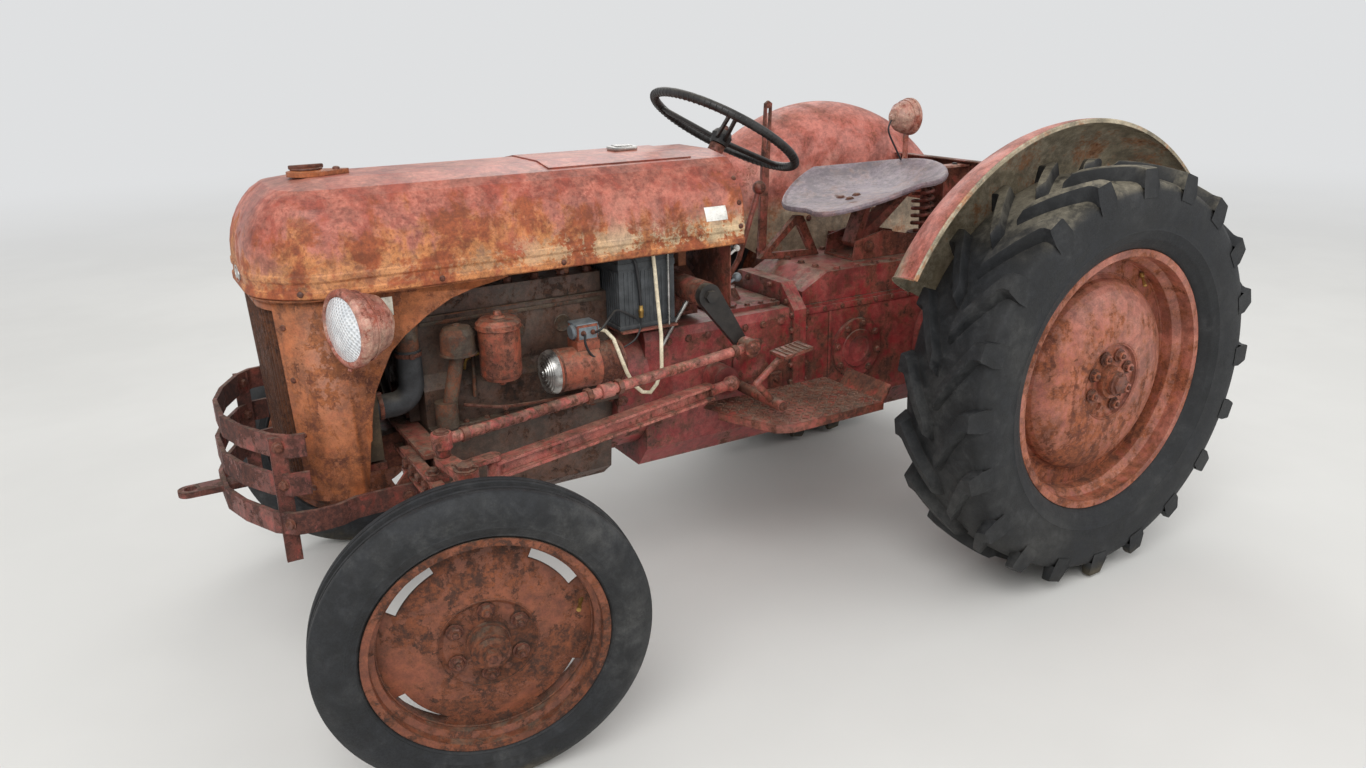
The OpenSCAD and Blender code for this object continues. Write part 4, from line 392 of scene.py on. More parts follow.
def make_materials():
    """Every material of the tractor by name."""
    orange = ((102, 56, 38), (156, 92, 54))
    brown = ((74, 42, 32), (112, 64, 46))
    table = [
        rusted_paint("cast_paint", (142, 38, 42), (154, 78, 72), 0.28, 1.0, brown, grime_and_shade=0.85, dust=0.5,
                     patch=3.6),
        rusted_paint("engine_paint", (98, 68, 56), (82, 70, 60), 0.35, 2.5, ((50, 38, 32),
                     (92, 60, 44)), grime_and_shade=0.8, dust=0.45, patch=6.0),
        rusted_paint("rod_paint", (168, 74, 66), (184, 116, 102), 0.30, 2.7, brown, grime_and_shade=0.3, dust=0.3,
                     patch=7.0),
        cast_metal("cast_iron", (92, 76, 60), (54, 46, 40), (112, 66, 44), 2.0),
        rusted_paint("sheet_paint", (150, 80, 44), (172, 102, 60), 0.45, 3.0, orange, patch=3.2, dust=0.15),
        hood_paint(),
        fender_paint(),
        rusted_paint("rusty_steel", (148, 62, 54), (156, 94, 80), 0.45, 6.0, brown, patch=6.0, dust=0.3,
                     grime_and_shade=0.3),
        rusted_paint("bumper_paint", (146, 62, 56), (134, 74, 62), 0.62, 6.5, ((66, 40, 34),
                     (100, 58, 48)), patch=5.0, dust=0.2, grime_and_shade=0.2),
        rusted_paint("grille_paint", (92, 54, 40), (116, 72, 48), 0.6, 7.0, ((58, 35, 27),
                     (104, 62, 38)), patch=8.0, dust=0.1),
        rusted_paint("wheel_paint", (156, 84, 68), (176, 114, 96), 0.42, 8.0, ((98, 52, 36),
                     (152, 86, 54)), patch=3.4, dust=0.1, streak=0.3),
        rusted_paint("front_wheel_paint", (110, 58, 40), (132, 72, 48), 0.55, 9.0, ((62, 38, 28),
                     (122, 68, 42)), patch=4.4, dust=0.2, streak=0.15, grime_and_shade=0.6),
        rubber("tyre", (10, 12, 14), (28, 30, 34), 0.25, 4.0),
        rubber("front_tyre", (13, 15, 18), (34, 36, 40), 0.3, 4.6),
        plain("black_paint", (30, 28, 27), (52, 47, 43), (0.35, 0.75), 5.0, dust=0.3),
        plain("black_plastic", (24, 23, 23), (44, 42, 41), (0.28, 0.6), 6.0, dust=0.15),
        rusted_paint("seat_paint", (116, 102, 110), (142, 128, 134), 0.12, 12.0, ((112, 80, 74),
                     (146, 118, 116)), patch=3.0, dust=0.15, streak=0.1),
        plain("battery_case", (48, 51, 54), (72, 75, 77), (0.5, 0.8), 7.0, dust=0.35),
        plain("hose_rubber", (34, 35, 37), (58, 59, 61), (0.5, 0.8), 8.0, dust=0.35),
        plain("cable_jacket", (210, 196, 166), (230, 218, 192), (0.4, 0.65), 9.0, dust=0.1),
        rusted_paint("filter_paint", (142, 64, 44), (158, 90, 66), 0.35, 15.0, brown, patch=9.0, dust=0.3,
                     grime_and_shade=0.35),
        core(),
        rusted_paint("lamp_steel", (168, 104, 92), (196, 160, 140), 0.30, 17.0, ((112, 58, 46),
                     (158, 88, 70)), patch=9.0, dust=0.1),
        plain("bright_metal", (150, 148, 144), (206, 204, 200), (0.2, 0.45), 11.0, 0.9, 0.15),
        rusted_paint("bolt_steel", (92, 50, 42), (108, 68, 54), 0.6, 19.0, brown, patch=14.0, dust=0.3,
                     edge=0.0012),
        plain("paper", (224, 222, 214), (240, 238, 232), (0.55, 0.7), 12.0, dust=0.1, bump=0.08),
        plain("brass", (150, 118, 62), (186, 152, 88), (0.3, 0.55), 13.0, 0.8, 0.2),
        plain("black_wire", (22, 22, 24), (40, 40, 42), (0.4, 0.65), 13.5, dust=0.2),
        plain("dial", (200, 196, 184), (226, 222, 208), (0.3, 0.5), 16.0, dust=0.1, bump=0.05),
        plain("switch_grey", (104, 112, 118), (142, 150, 154), (0.35, 0.6), 21.0, 0.3, 0.2),
        plain("pale_metal", (170, 164, 150), (206, 200, 186), (0.4, 0.7), 22.0, 0.2, 0.3),
        rusted_paint("housing_bolt", (128, 48, 48), (132, 76, 64), 0.5, 23.0, brown, patch=12.0, dust=0.35,
                     grime_and_shade=0.6, edge=0.0012),
        rusted_paint("step_steel", (112, 78, 66), (140, 104, 84), 0.5, 24.0, brown, patch=8.0, dust=0.4,
                     edge=0.001),
        lens_glass(),
    ]
    return {m.name.split(".")[0]: m for m in table}


NODE_MATERIAL = {
    "hood": "hood_paint", "filler_door": "hood_paint", "grille_bars": "grille_paint", "bumper": "bumper_paint",
    "engine_block": "engine_paint", "cylinder_head": "engine_paint", "oil_pan": "engine_paint",
    "radius_rods": "rod_paint", "drag_link_left": "rod_paint", "drag_link_right": "rod_paint",
    "front_wheel_left": "front_wheel_paint", "front_wheel_right": "front_wheel_paint",
    "front_tyre_left": "front_tyre", "front_tyre_right": "front_tyre",
}


def dress(obj, material):
    """Puts the material on every slot of an object, without a change to its mesh."""
    if not obj.material_slots:
        obj.data.materials.append(material)
    for slot in obj.material_slots:
        slot.link = "OBJECT"
        slot.material = material


# ---------------------------------------------------------------- mesh helpers


MATERIALS = {}
SHARP_FROM = 40  # degrees between two faces from which their edge is sharp


def piece(name, bm, material, body="chassis", smooth=SHARP_FROM):
    """Turns a bmesh into a finished piece that rides on a body."""
    bmesh.ops.recalc_face_normals(bm, faces=bm.faces)
    bm.transform(TO_FRAME)
    mesh = bpy.data.meshes.new(name)
    bm.to_mesh(mesh)
    bm.free()
    mesh.polygons.foreach_set("use_smooth", [True] * len(mesh.polygons))
    obj = bpy.data.objects.new(name, mesh)
    bpy.context.scene.collection.objects.link(obj)
    mesh.set_sharp_from_angle(angle=math.radians(smooth))
    dress(obj, MATERIALS[material])
    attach(obj, body)
    return obj


def join(bm, rings, closed=True, caps=False):
    """Faces between neighbouring rings of vertices, and on both ends if caps is set."""
    for a, b in zip(rings, rings[1:]):
        for k in range(len(a) if closed else len(a) - 1):
            n = (k + 1) % len(a)
            bm.faces.new([a[k], a[n], b[n], b[k]])
    if caps:
        bm.faces.new(rings[0])
        bm.faces.new(rings[-1])


def around(centre, u, v, radius, count):
    """Points on a circle that starts at u and turns towards v."""
    return [centre + (u * math.cos(a) + v * math.sin(a)) * radius
            for a in (2 * math.pi * k / count for k in range(count))]


def frame_of(axis):
    """Two unit vectors square to axis."""
    axis = Vector(axis).normalized()
    side = axis.cross(UP)
    if side.length < 1e-4:
        side = axis.cross(AHEAD)
    side.normalize()
    return side, axis.cross(side)


def add_lathe(bm, centre, axis, profile, steps=24, capped=True):
    """A turned shape: profile is a list of (distance along axis, radius)."""
    centre, axis = Vector(centre), Vector(axis).normalized()
    u, v = frame_of(axis)
    rings = [[bm.verts.new(p) for p in around(centre + axis * along, u, v, radius, steps if radius > 1e-4 else 1)]
             for along, radius in profile]
    for a, b in zip(rings, rings[1:]):
        for k in range(steps):
            n = (k + 1) % steps
            corners = list(dict.fromkeys((a[k % len(a)], a[n % len(a)], b[n % len(b)], b[k % len(b)])))
            if len(corners) > 2:
                bm.faces.new(corners)
    for ring in (rings[0], rings[-1]):
        if capped and len(ring) > 2:
            bm.faces.new(ring)


def disc(radius, thick):
    """A turned profile with both ends flat and closed."""
    return [(0, 0), (0, radius), (thick, radius), (thick, 0)]


def add_bolt(bm, at, axis, size, height, turn=0.0):
    """Hexagon head with a chamfered top on a thin washer. size is the radius of the head."""
    add_lathe(bm, at, axis, [(0, size * 1.25), (size * 0.16, size * 1.25), (size * 0.2, size * 1.1)], 16)
    axis = Vector(axis).normalized()
    u, v = frame_of(axis)
    u, v = u * math.cos(turn) + v * math.sin(turn), v * math.cos(turn) - u * math.sin(turn)
    join(bm, [[bm.verts.new(p) for p in around(Vector(at) + axis * along, u, v, radius, 6)]
              for along, radius in ((0, size), (height * 0.8, size), (height, size * 0.8))], caps=True)


def smooth_path(points, per=8):
    """Catmull-Rom curve through the points."""
    points = [Vector(p) for p in points]
    ends = [points[0] * 2 - points[1]] + points + [points[-1] * 2 - points[-2]]
    out = []
    for a, b, c, d in zip(ends, ends[1:], ends[2:], ends[3:]):
        for k in range(per):
            t = k / per
            out.append(0.5 * ((2 * b) + (c - a) * t + (2 * a - 5 * b + 4 * c - d) * t * t
                              + (3 * b - a - 3 * c + d) * t ** 3))
    return out + [points[-1]]


def add_tube(bm, points, radius, sides=10, closed=False):
    """A round bar along points, or a loop through them."""
    points = [Vector(p) for p in points]
    last = len(points) - 1
    side = frame_of(points[1] - points[0])[0]
    rings = []
    for i, p in enumerate(points):
        after = points[(i + 1) % len(points)] if closed else points[min(i + 1, last)]
        before = points[i - 1] if closed else points[max(i - 1, 0)]
        ahead = (after - before).normalized()
        side = (side - ahead * side.dot(ahead)).normalized()
        rings.append([bm.verts.new(q) for q in around(p, side, ahead.cross(side), radius, sides)])
    join(bm, rings + rings[:1] if closed else rings, caps=not closed)


def add_hose(bm, points, radius, per=8, sides=8):
    """A round bar that bends smoothly through a few points."""
    add_tube(bm, smooth_path(points, per), radius, sides)


def add_ring(bm, centre, axis, radius, thick, steps):
    """A loop of round bar about an axis."""
    add_tube(bm, around(Vector(centre), *frame_of(axis), radius, steps), thick, 8, True)


def add_ball(bm, centre, radius):
    """A sphere."""
    profile = [(-radius * math.cos(math.pi * k / 12), radius * math.sin(math.pi * k / 12)) for k in range(13)]
    profile[0], profile[-1] = (-radius, 0.0), (radius, 0.0)
    add_lathe(bm, centre, UP, profile, 20)


def add_box(bm, low, high, bevel=0.0):
    """A box between two corners, with its edges rounded by bevel."""
    low, high = [Vector(map(pick, low, high)) for pick in (min, max)]
    made = bmesh.ops.create_cube(bm, size=1)["verts"]
    for v in made:
        v.co = Vector((low[i] + (v.co[i] + 0.5) * (high[i] - low[i]) for i in range(3)))
    if bevel:
        edges = list({e for v in made for e in v.link_edges})
        bmesh.ops.bevel(bm, geom=edges, offset=bevel, segments=2, profile=0.6, affect="EDGES")


RAY_LENGTH = 3.0  # metres
SUNK = 0.3  # how far a bolt's washer goes into the surface


def surface(node):
    """A tree for rays against one CAD node."""
    return BVHTree.FromObject(frame["nodes"][node], bpy.context.evaluated_depsgraph_get())


def hit(tree, start, direction):
    """Point and normal where a ray meets a surface, or an error if it misses."""
    direction = Vector(direction).normalized()
    point, normal, _, _ = tree.ray_cast(TO_FRAME @ Vector(start), direction, RAY_LENGTH)
    if point is None:
        raise RuntimeError(f"ray from {tuple(start)} towards {tuple(direction)} misses")
    return FROM_FRAME @ point, -normal if normal.dot(direction) > 0 else normal


def both(points):
    """The points and their mirror images on the other side."""
    return [(x, side * y, z) for side in SIDES for x, y, z in points]


def bolts_on(bm, node, direction, size, starts, height):
    """Seats a bolt wherever a ray from a start meets the node."""
    tree = surface(node)
    for n, start in enumerate(starts):
        point, normal = hit(tree, start, direction)
        add_bolt(bm, point - normal * SUNK, normal, size, height, n * 1.7)


def bolts_from_sides(bm, node, size, spots, reach, height):
    """Bolts on the left and right of a node, at (x, z) spots. The rays start at reach from the middle."""
    for side in SIDES:
        bolts_on(bm, node, (0, -side, 0), size, [(x, side * reach, z) for x, z in spots], height)


def circle(centre, radius, count, start=0.0):
    """Points (a, b) on a circle."""
    return [(centre[0] + radius * math.cos(start + 2 * math.pi * k / count),
             centre[1] + radius * math.sin(start + 2 * math.pi * k / count)) for k in range(count)]


def add_band(bm, centre, axis, radius, width, thick=1.6, steps=40):
    """A clamp or a strap round a pipe."""
    half = width / 2
    add_lathe(bm, centre, axis, [(-half, radius), (-half, radius + thick * 0.7), (-half + 0.6, radius + thick),
                                 (half - 0.6, radius + thick), (half, radius + thick * 0.7), (half, radius)], steps,
              capped=False)


def add_plate(bm, centre, axis, outline, thick, bevel):
    """A flat plate with an outline of (side, up) points on a surface."""
    u, v = frame_of(axis)
    centre, axis = Vector(centre), Vector(axis).normalized()
    top = 1.0 - bevel / max(abs(c) for p in outline for c in p)
    join(bm, [[bm.verts.new(centre + axis * along + (u * a + v * b) * scale) for a, b in outline]
              for along, scale in ((0.0, 1.0), (thick - bevel, 1.0), (thick, top))], caps=True)


def oval(half_wide, half_high, count=40):
    """Points (side, up) on an ellipse."""
    return [(a * half_wide, b * half_high) for a, b in circle((0, 0), 1, count)]


# ---------------------------------------------------------------- tyres


LUG_SWEEP = 0.297  # radians that a lug runs round the tyre, from its inner to its outer end


def rear_tyre(side, lugs, lug_height):
    """Carcass with two rows of swept lugs. side is 1 for the left wheel."""
    hub = REAR_AXLE + Vector((0, side * HALF_TREAD, 0))

    def skin(across):
        """Radius of the carcass under the lugs, at a distance from the middle."""
        return REAR_RADIUS - lug_height - 18 * min(abs(across) / 128, 1.0) ** 2.2

    def at(across, radius, angle):
        return hub + Vector((radius * math.cos(angle), across, radius * math.sin(angle)))

    bm = bmesh.new()
    half = [(y, skin(y)) for y in (0, 35, 70, 100, 118)]
    half += [(128.5, skin(128.5) - 3), (136, 528), (140.5, 505), (142, 478), (140.5, 450), (137, 430), (138.5, 426),
             (136, 421), (130, 404), (128.5, 400), (124.5, 396), (118, 385), (112, 377), (107, 373.8),
             (101.6, 372.4), (101.5, 356.8)]
    profile = [(-y, r) for y, r in reversed(half[1:])] + half
    count = 160
    rings = [[bm.verts.new(at(y, r, 2 * math.pi * k / count)) for k in range(count)] for y, r in profile]
    join(bm, rings)
    pitch = 2 * math.pi / lugs
    steps = 12
    for row in SIDES:
        for i in range(lugs):
            start = -0.5 * math.pi + (i + 0.095 + (0.5 if row * side < 0 else 0.0)) * pitch
            grid = []
            for k in range(steps + 1):
                t = k / steps
                across = 6 + 129.5 * t
                angle = start + LUG_SWEEP * min(across / 106, 1.0)
                half_top = (20 + 4 * t) / REAR_RADIUS
                half_foot = half_top + 11 / REAR_RADIUS
                foot = skin(across) - 6
                rise = (REAR_RADIUS - 0.6 - 8.5 * t ** 2.4 - foot) * min(1.0, t / 0.06 + 0.55)
                outer = 0 if t < 1 else 4
                grid.append([at(row * (across + flare), foot + rise * share, angle + lean) for flare, share,
                             lean in (
                    (outer, 0.0, -half_foot), (-outer, 0.9, -half_top * 1.08), (-outer, 1.0, -half_top * 0.92),
                    (-outer, 1.0, half_top * 0.92), (-outer, 0.9, half_top * 1.08), (outer, 0.0, half_foot))])
            end = start + LUG_SWEEP
            grid.append([at(row * 141.2, 512,
                            end + s * 26 / REAR_RADIUS) for s in (-1.25, -1, -0.85, 0.85, 1, 1.25)])
            verts = [[bm.verts.new(p) for p in line] for line in grid]
            join(bm, verts, closed=False)
            bm.faces.new(verts[0])
    name = SIDE_NAMES[side]
    obj = piece(f"rear_tyre_{name}_tread", bm, "tyre", f"rear_wheel_{name}", 34)
    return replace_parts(obj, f"rear_tyre_{name}")


KINGPIN = Vector((1778, 545, 0))  # foot of the left kingpin's axis
FRONT_STEER = math.radians(-11.3)
CAMBER = math.radians(3.4)
STUB = 115  # from the kingpin to the middle of the wheel
FRONT_HUB_HEIGHT = 351.4


def front_wheel_place(side):
    """Turns a piece drawn about y at the origin into its place on a steered front wheel."""
    flip = Matrix.Diagonal((1, side, 1, 1))
    return (Matrix.Translation((KINGPIN.x, side * KINGPIN.y, 0)) @ Matrix.Rotation(FRONT_STEER, 4, "Z") @ flip
            @ Matrix.Translation((0, STUB, FRONT_HUB_HEIGHT)) @ Matrix.Rotation(-CAMBER, 4, "X"))


def front_tyre(side):
    """Three-ribbed front tyre with rounded shoulders and a raised ring on each wall."""
    half = [(0, 341.8), (3, 341.8), (7.5, 342), (9.5, 348.6), (11, 349.8), (14, 350), (16.2, 349.4), (17.6, 343.4),
            (18.6, 342), (19.8, 343.4), (21, 348.9), (23, 349.7), (32, 349.2), (36, 347.6), (39.5, 343), (43, 338),
            (48, 331), (52, 322), (54.6, 312), (55.8, 302), (55.6, 292), (54.4, 284), (55.2, 281.5), (54.2, 279),
            (51, 270), (47.6, 263), (48.2, 261), (46, 258.6), (43.4, 257), (41, 254.6), (39.8, 254), (39.6, 241.4)]
    bm = bmesh.new()
    add_lathe(bm, (0, 0, 0), LEFT, [(-y, r) for y, r in reversed(half[1:])] + half, 144, capped=False)
    bm.transform(front_wheel_place(side))
    name = SIDE_NAMES[side]
    obj = piece(f"front_tyre_{name}_ribs", bm, "front_tyre", f"front_wheel_{name}", 32)
    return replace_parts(obj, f"front_tyre_{name}")


# Axis lines of the round units that carry fittings: (y, z) where the axis runs ahead, (x, y) where it stands.
COIL = (-166, 931)
STARTER = (228, 742)
MUFFLER = (-200, 386)
OIL_FILTER = (1567, 220)
BREATHER = (1664, 205)
AIR_CLEANER = (1175, -243)
FUEL_CAP = (1145, 0)
GAUGES = ((-140, 1090, 30), (-140, 1010, 30), (140, 1060, 38))  # (y, z, radius)


# ---------------------------------------------------------------- add-on classes


class TractorSettings(bpy.types.PropertyGroup):
    """Sizes and colours of the fittings and the stage."""

    lug_count: bpy.props.IntProperty(
        name="Lugs", description="Lugs in each row of a rear tyre", default=20, min=8, max=40)
    lug_height: bpy.props.FloatProperty(
        name="Lug height", description="Height of a rear tyre's lugs", default=0.031, unit="LENGTH",
        subtype="DISTANCE")
    floor_colour: bpy.props.FloatVectorProperty(
        name="Floor", description="Colour of the stage floor", default=(0.74, 0.73, 0.70), subtype="COLOR", size=3)
    floor_half: bpy.props.FloatProperty(
        name="Floor half width", description="Half the width of the stage floor", default=40.0, unit="LENGTH",
        subtype="DISTANCE")
    light_strength: bpy.props.FloatProperty(
        name="Key light", description="Power of the key light", default=172.0, unit="POWER")


class TRACTOR_OT_finish_nodes(bpy.types.Operator):
    """Gives every CAD node its weathered material"""

    bl_idname = "tractor.finish_nodes"
    bl_label = "Finish CAD nodes"

    def execute(self, context):
        MATERIALS.update(make_materials())
        slots = {p["node"]: p["material_slot"] for p in frame["record"]["subparts"]}
        for name, obj in frame["nodes"].items():
            dress(obj, MATERIALS[NODE_MATERIAL.get(name, slots[name])])
        return {"FINISHED"}


class TRACTOR_OT_rear_tyres(bpy.types.Operator):
    """Builds both rear tyres with their lugs"""

    bl_idname = "tractor.rear_tyres"
    bl_label = "Rear tyres"

    def execute(self, context):
        settings = context.scene.tractor
        for side in SIDES:
            rear_tyre(side, settings.lug_count, settings.lug_height * 1000)
        return {"FINISHED"}


class TRACTOR_OT_front_tyres(bpy.types.Operator):
    """Builds both front tyres with their ribs"""

    bl_idname = "tractor.front_tyres"
    bl_label = "Front tyres"

    def execute(self, context):
        for side in SIDES:
            front_tyre(side)
        return {"FINISHED"}


# The cut-out's edge in the grille shell's sides, from the foot up and back, as (x, z).
SHELL_EDGE = [(1894, 645), (1884, 723), (1870, 777), (1853, 812), (1826, 863), (1791, 896), (1739, 932),
              (1681, 964), (1623, 981), (1548, 994)]


class TRACTOR_OT_grille_shell(bpy.types.Operator):
    """Opens the cut-out in the grille shell's sides to its full curve"""

    bl_idname = "tractor.grille_shell"
    bl_label = "Grille shell"

    def execute(self, context):
        bm = bmesh.new()
        bm.from_mesh(frame["nodes"]["grille_shell"].data)
        bm.transform(FROM_FRAME)
        bmesh.ops.remove_doubles(bm, verts=bm.verts, dist=0.02)
        shell = piece("grille_shell_sides", bm, "sheet_paint", "hood_assembly")
        outline = SHELL_EDGE + [(1500, 1046), (1000, 1046), (1000, 600), (SHELL_EDGE[0][0], 600)]
        cutters = []
        for side in SIDES:
            bm = bmesh.new()
            join(bm, [[bm.verts.new((x, side * y, z)) for x, z in outline] for y in (150, 300)], caps=True)
            bmesh.ops.recalc_face_normals(bm, faces=bm.faces)
            if bm.calc_volume(signed=True) < 0:
                bmesh.ops.reverse_faces(bm, faces=bm.faces)
            bm.transform(TO_FRAME)
            mesh = bpy.data.meshes.new("cutter")
            bm.to_mesh(mesh)
            bm.free()
            cutter = bpy.data.objects.new("cutter", mesh)
            context.scene.collection.objects.link(cutter)
            cutters.append(cutter)
            modifier = shell.modifiers.new("cut", "BOOLEAN")
            modifier.operation, modifier.solver, modifier.object = "DIFFERENCE", "EXACT", cutter
        cut = bpy.data.meshes.new_from_object(shell.evaluated_get(context.evaluated_depsgraph_get()))
        shell.modifiers.clear()
        if len(cut.polygons) < 100:
            raise RuntimeError("the cut left no shell")
        shell.data = cut
        dress(shell, MATERIALS["sheet_paint"])
        cut.set_sharp_from_angle(angle=math.radians(SHARP_FROM))
        for cutter in cutters:
            bpy.data.objects.remove(cutter)
        half_wide = max(abs(v.co.y) for v in cut.vertices)
        if half_wide > max(abs(v.co.y) for v in frame["nodes"]["grille_shell"].data.vertices) + 0.001:
            raise RuntimeError("the cut added to the shell")
        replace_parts(shell, "grille_shell")
        return {"FINISHED"}


class TRACTOR_OT_engine_fittings(bpy.types.Operator):
    """Adds the head nuts, the plugs, the gasket and the covers' bolts to the engine"""

    bl_idname = "tractor.engine_fittings"
    bl_label = "Engine fittings"

    def execute(self, context):
        bm = bmesh.new()
        bolts_on(bm, "cylinder_head", DOWN, 11, both([(x, 122, 1030) for x in range(1285, 1740, 72)]), 14)
        bolts_on(bm, "oil_pan", UP, 7.5, both([(x, 184, 560) for x in range(1262, 1740, 52)]), 6)
        bolts_on(bm, "oil_pan", DOWN, 7, both([(x, 182, 655) for x in range(1288, 1740, 52)]), 6)
        bolts_on(bm, "engine_block", BACK, 7, both([(1900, y, z) for y, z in (
            (98, 656), (98, 716), (76, 772), (50, 826), (50, 870), (40, 660))]), 6)
        bolts_on(bm, "manifold", (0, 1, 0), 9, [(x, -500, 860) for x in range(1322, 1700, 60)], 9)
        piece("engine_bolts", bm, "bolt_steel")
        bm = bmesh.new()
        add_box(bm, (1257.5, -149, 903.4), (1736, 149, 906.2))
        for side in SIDES:
            for x in (1372, 1497, 1648):
                add_lathe(bm, (x, side * 147.6, 838), (0, side, 0), [(0, 23), (2.4, 23), (3.4, 21), (1.2, 17),
                                                                     (0.8, 0)], 28)
            add_box(bm, (1262, side * 147, 884), (1736, side * 152, 894), 2)
        piece("engine_ribs", bm, "cast_iron")
        return {"FINISHED"}


class TRACTOR_OT_ignition(bpy.types.Operator):
    """Adds the coil and the spark plugs' leads"""

    bl_idname = "tractor.ignition"
    bl_label = "Ignition"

    def execute(self, context):
        plugs = [1307.5 + 125 * n for n in range(4)]
        bm = bmesh.new()
        add_lathe(bm, (1640, *COIL), BACK, [(0, 0), (0, 22), (4, 25), (96, 25), (100, 22), (104, 14), (128, 10),
                                            (128, 0)], 28)
        for x in plugs:
            add_lathe(bm, (x, -62, 984), UP, [(0, 8.6), (16, 8.6), (19, 6), (19, 0)], 14)
        for x in (1560, 1620):
            add_band(bm, (x, *COIL), AHEAD, 25, 14)
        piece("ignition_coil", bm, "black_paint")
        bm = bmesh.new()
        for n, x in enumerate(plugs):
            gather = (1500, -112 - 5 * n, 968 + 3 * n)
            add_hose(bm, [(x, -62, 1000), (x, -74, 1006), (x + (1500 - x) * 0.3, -104, 984), gather,
                          (1512, -140 - 4 * n, 958), (1513, -158 - 3 * n, 942)], 3.4, 6)
        piece("ignition_leads", bm, "black_wire")
        return {"FINISHED"}


def outer_ring(circles, steps=48):
    """Convex loop of (y, z) points round circles given as (y, z, radius)."""
    points = sorted({(round(a, 3), round(b, 3)) for y, z, r in circles for a, b in circle((y, z), r, steps)})

    def chain(line):
        out = []
        for p in line:
            while len(out) > 1 and ((out[-1][0] - out[-2][0]) * (p[1] - out[-2][1])
                                    - (out[-1][1] - out[-2][1]) * (p[0] - out[-2][0])) <= 0:
                out.pop()
            out.append(p)
        return out[:-1]
    return chain(points) + chain(points[::-1])


class TRACTOR_OT_belt(bpy.types.Operator):
    """Adds the fan belt and the crank pulley"""

    bl_idname = "tractor.belt"
    bl_label = "Fan belt"

    def execute(self, context):
        groove = [(0, 24), (0, 60), (3, 60), (7, 50), (11, 60), (14, 60), (14, 24), (26, 24), (26, 14), (30, 14),
                  (30, 0)]
        bm = bmesh.new()
        add_lathe(bm, (1771, 0, 690), AHEAD, [(0, 0), (0, 24), (20, 24)] + [(a + 20, r) for a, r in groove], 40)
        piece("crank_pulley", bm, "bolt_steel")
        bm = bmesh.new()
        loop = outer_ring([(0, 690, 57), (0, 835, 50), (-190, 790, 38)])
        rings = [[bm.verts.new((x, y, z)) for y, z in loop] for x in (1794, 1804)]
        inner = outer_ring([(0, 690, 50), (0, 835, 43), (-190, 790, 31)])
        nearest = [min(inner, key=lambda q: (q[0] - y) ** 2 + (q[1] - z) ** 2) for y, z in loop]
        rings += [[bm.verts.new((x, y, z)) for y, z in nearest] for x in (1803, 1795)]
        join(bm, rings + rings[:1])
        piece("fan_belt", bm, "black_wire")
        return {"FINISHED"}


class TRACTOR_OT_clamps(bpy.types.Operator):
    """Adds the hose clamps and the bands on the air cleaner and the muffler"""

    bl_idname = "tractor.clamps"
    bl_label = "Clamps"

    def execute(self, context):
        bm = bmesh.new()
        for at, axis in (((1853, 172, 716), AHEAD), ((1773, 172, 832), UP)):
            add_band(bm, at, axis, 29.4, 10)
        for at, axis in (((1703, 0, 1002), UP), ((1852, 0, 1060), AHEAD)):
            add_band(bm, at, axis, 30.4, 10)
        add_box(bm, (1846, 166, 744), (1860, 178, 752), 1.5)
        add_box(bm, (1767, 200, 826), (1779, 208, 838), 1.5)
        for z in (748, 752, 892):
            add_band(bm, (*AIR_CLEANER, z), UP, 58.5 if z > 750 else 66, 8)
        for x in (1076, 642):
            add_band(bm, (x, *MUFFLER), AHEAD, 52.2, 9, 2.4)
        for x in (975, 740):
            add_band(bm, (x, *MUFFLER), AHEAD, 52.2, 24, 2.2)
            add_box(bm, (x - 11, -204, 438), (x + 11, -199, 476), 1.5)
        piece("clamps", bm, "bolt_steel")
        return {"FINISHED"}


class TRACTOR_OT_starter_fittings(bpy.types.Operator):
    """Adds the starter's silvered end, its bands, the switch's studs and their leads"""

    bl_idname = "tractor.starter_fittings"
    bl_label = "Starter fittings"

    def execute(self, context):
        bm = bmesh.new()
        profile = [(1437, 0), (1437, 55.6), (1444, 55.6), (1455.5, 51.5)]
        for k in range(4):
            r = 49 - 9 * k
            profile += [(1456 + 2.2 * k, r), (1459 + 2.2 * k, r - 1.5), (1457 + 2.2 * k, r - 5)]
        profile += [(1466, 10), (1470, 9), (1470, 0)]
        add_lathe(bm, (0, *STARTER), AHEAD, profile, 40)
        for side in SIDES:
            add_bolt(bm, (1447, 228 + side * 30, 742 + side * 14), AHEAD, 5, 7)
        piece("starter_end", bm, "bright_metal")
        bm = bmesh.new()
        add_box(bm, (1320, 199, 851), (1380, 251, 857), 3)
        add_lathe(bm, (1314, 228, 834), AHEAD, [(0, 0), (0, 16), (3, 19), (70, 19), (73, 16), (73, 0)], 24)
        add_box(bm, (1326, 250, 818), (1374, 254, 848), 2)
        piece("starter_switch", bm, "switch_grey")
        bm = bmesh.new()
        for x in (1337, 1363):
            add_bolt(bm, (x, 254, 834), LEFT, 5.5, 6)
            add_lathe(bm, (x, 254, 834), LEFT, [(0, 2.6), (13, 2.6), (13, 0)], 10)
        add_bolt(bm, (1309, 224, 830), LEFT, 6, 7)
        add_band(bm, (1309, *STARTER), AHEAD, 54.2, 30, 1.4)
        add_band(bm, (1428, *STARTER), AHEAD, 54.2, 5, 1.2)
        add_band(bm, (1266, *STARTER), AHEAD, 54.2, 6, 2.4)
        piece("starter_bands", bm, "bolt_steel")
        bm = bmesh.new()
        add_hose(bm, [(1363, 264, 834), (1366, 270, 812), (1352, 268, 782), (1330, 270, 765)], 3.2, 6)
        add_hose(bm, [(1337, 264, 834), (1322, 276, 846), (1290, 262, 868), (1256, 236, 872), (1200, 228, 842)],
                 3.0, 6)
        piece("starter_leads", bm, "black_wire")
        return {"FINISHED"}


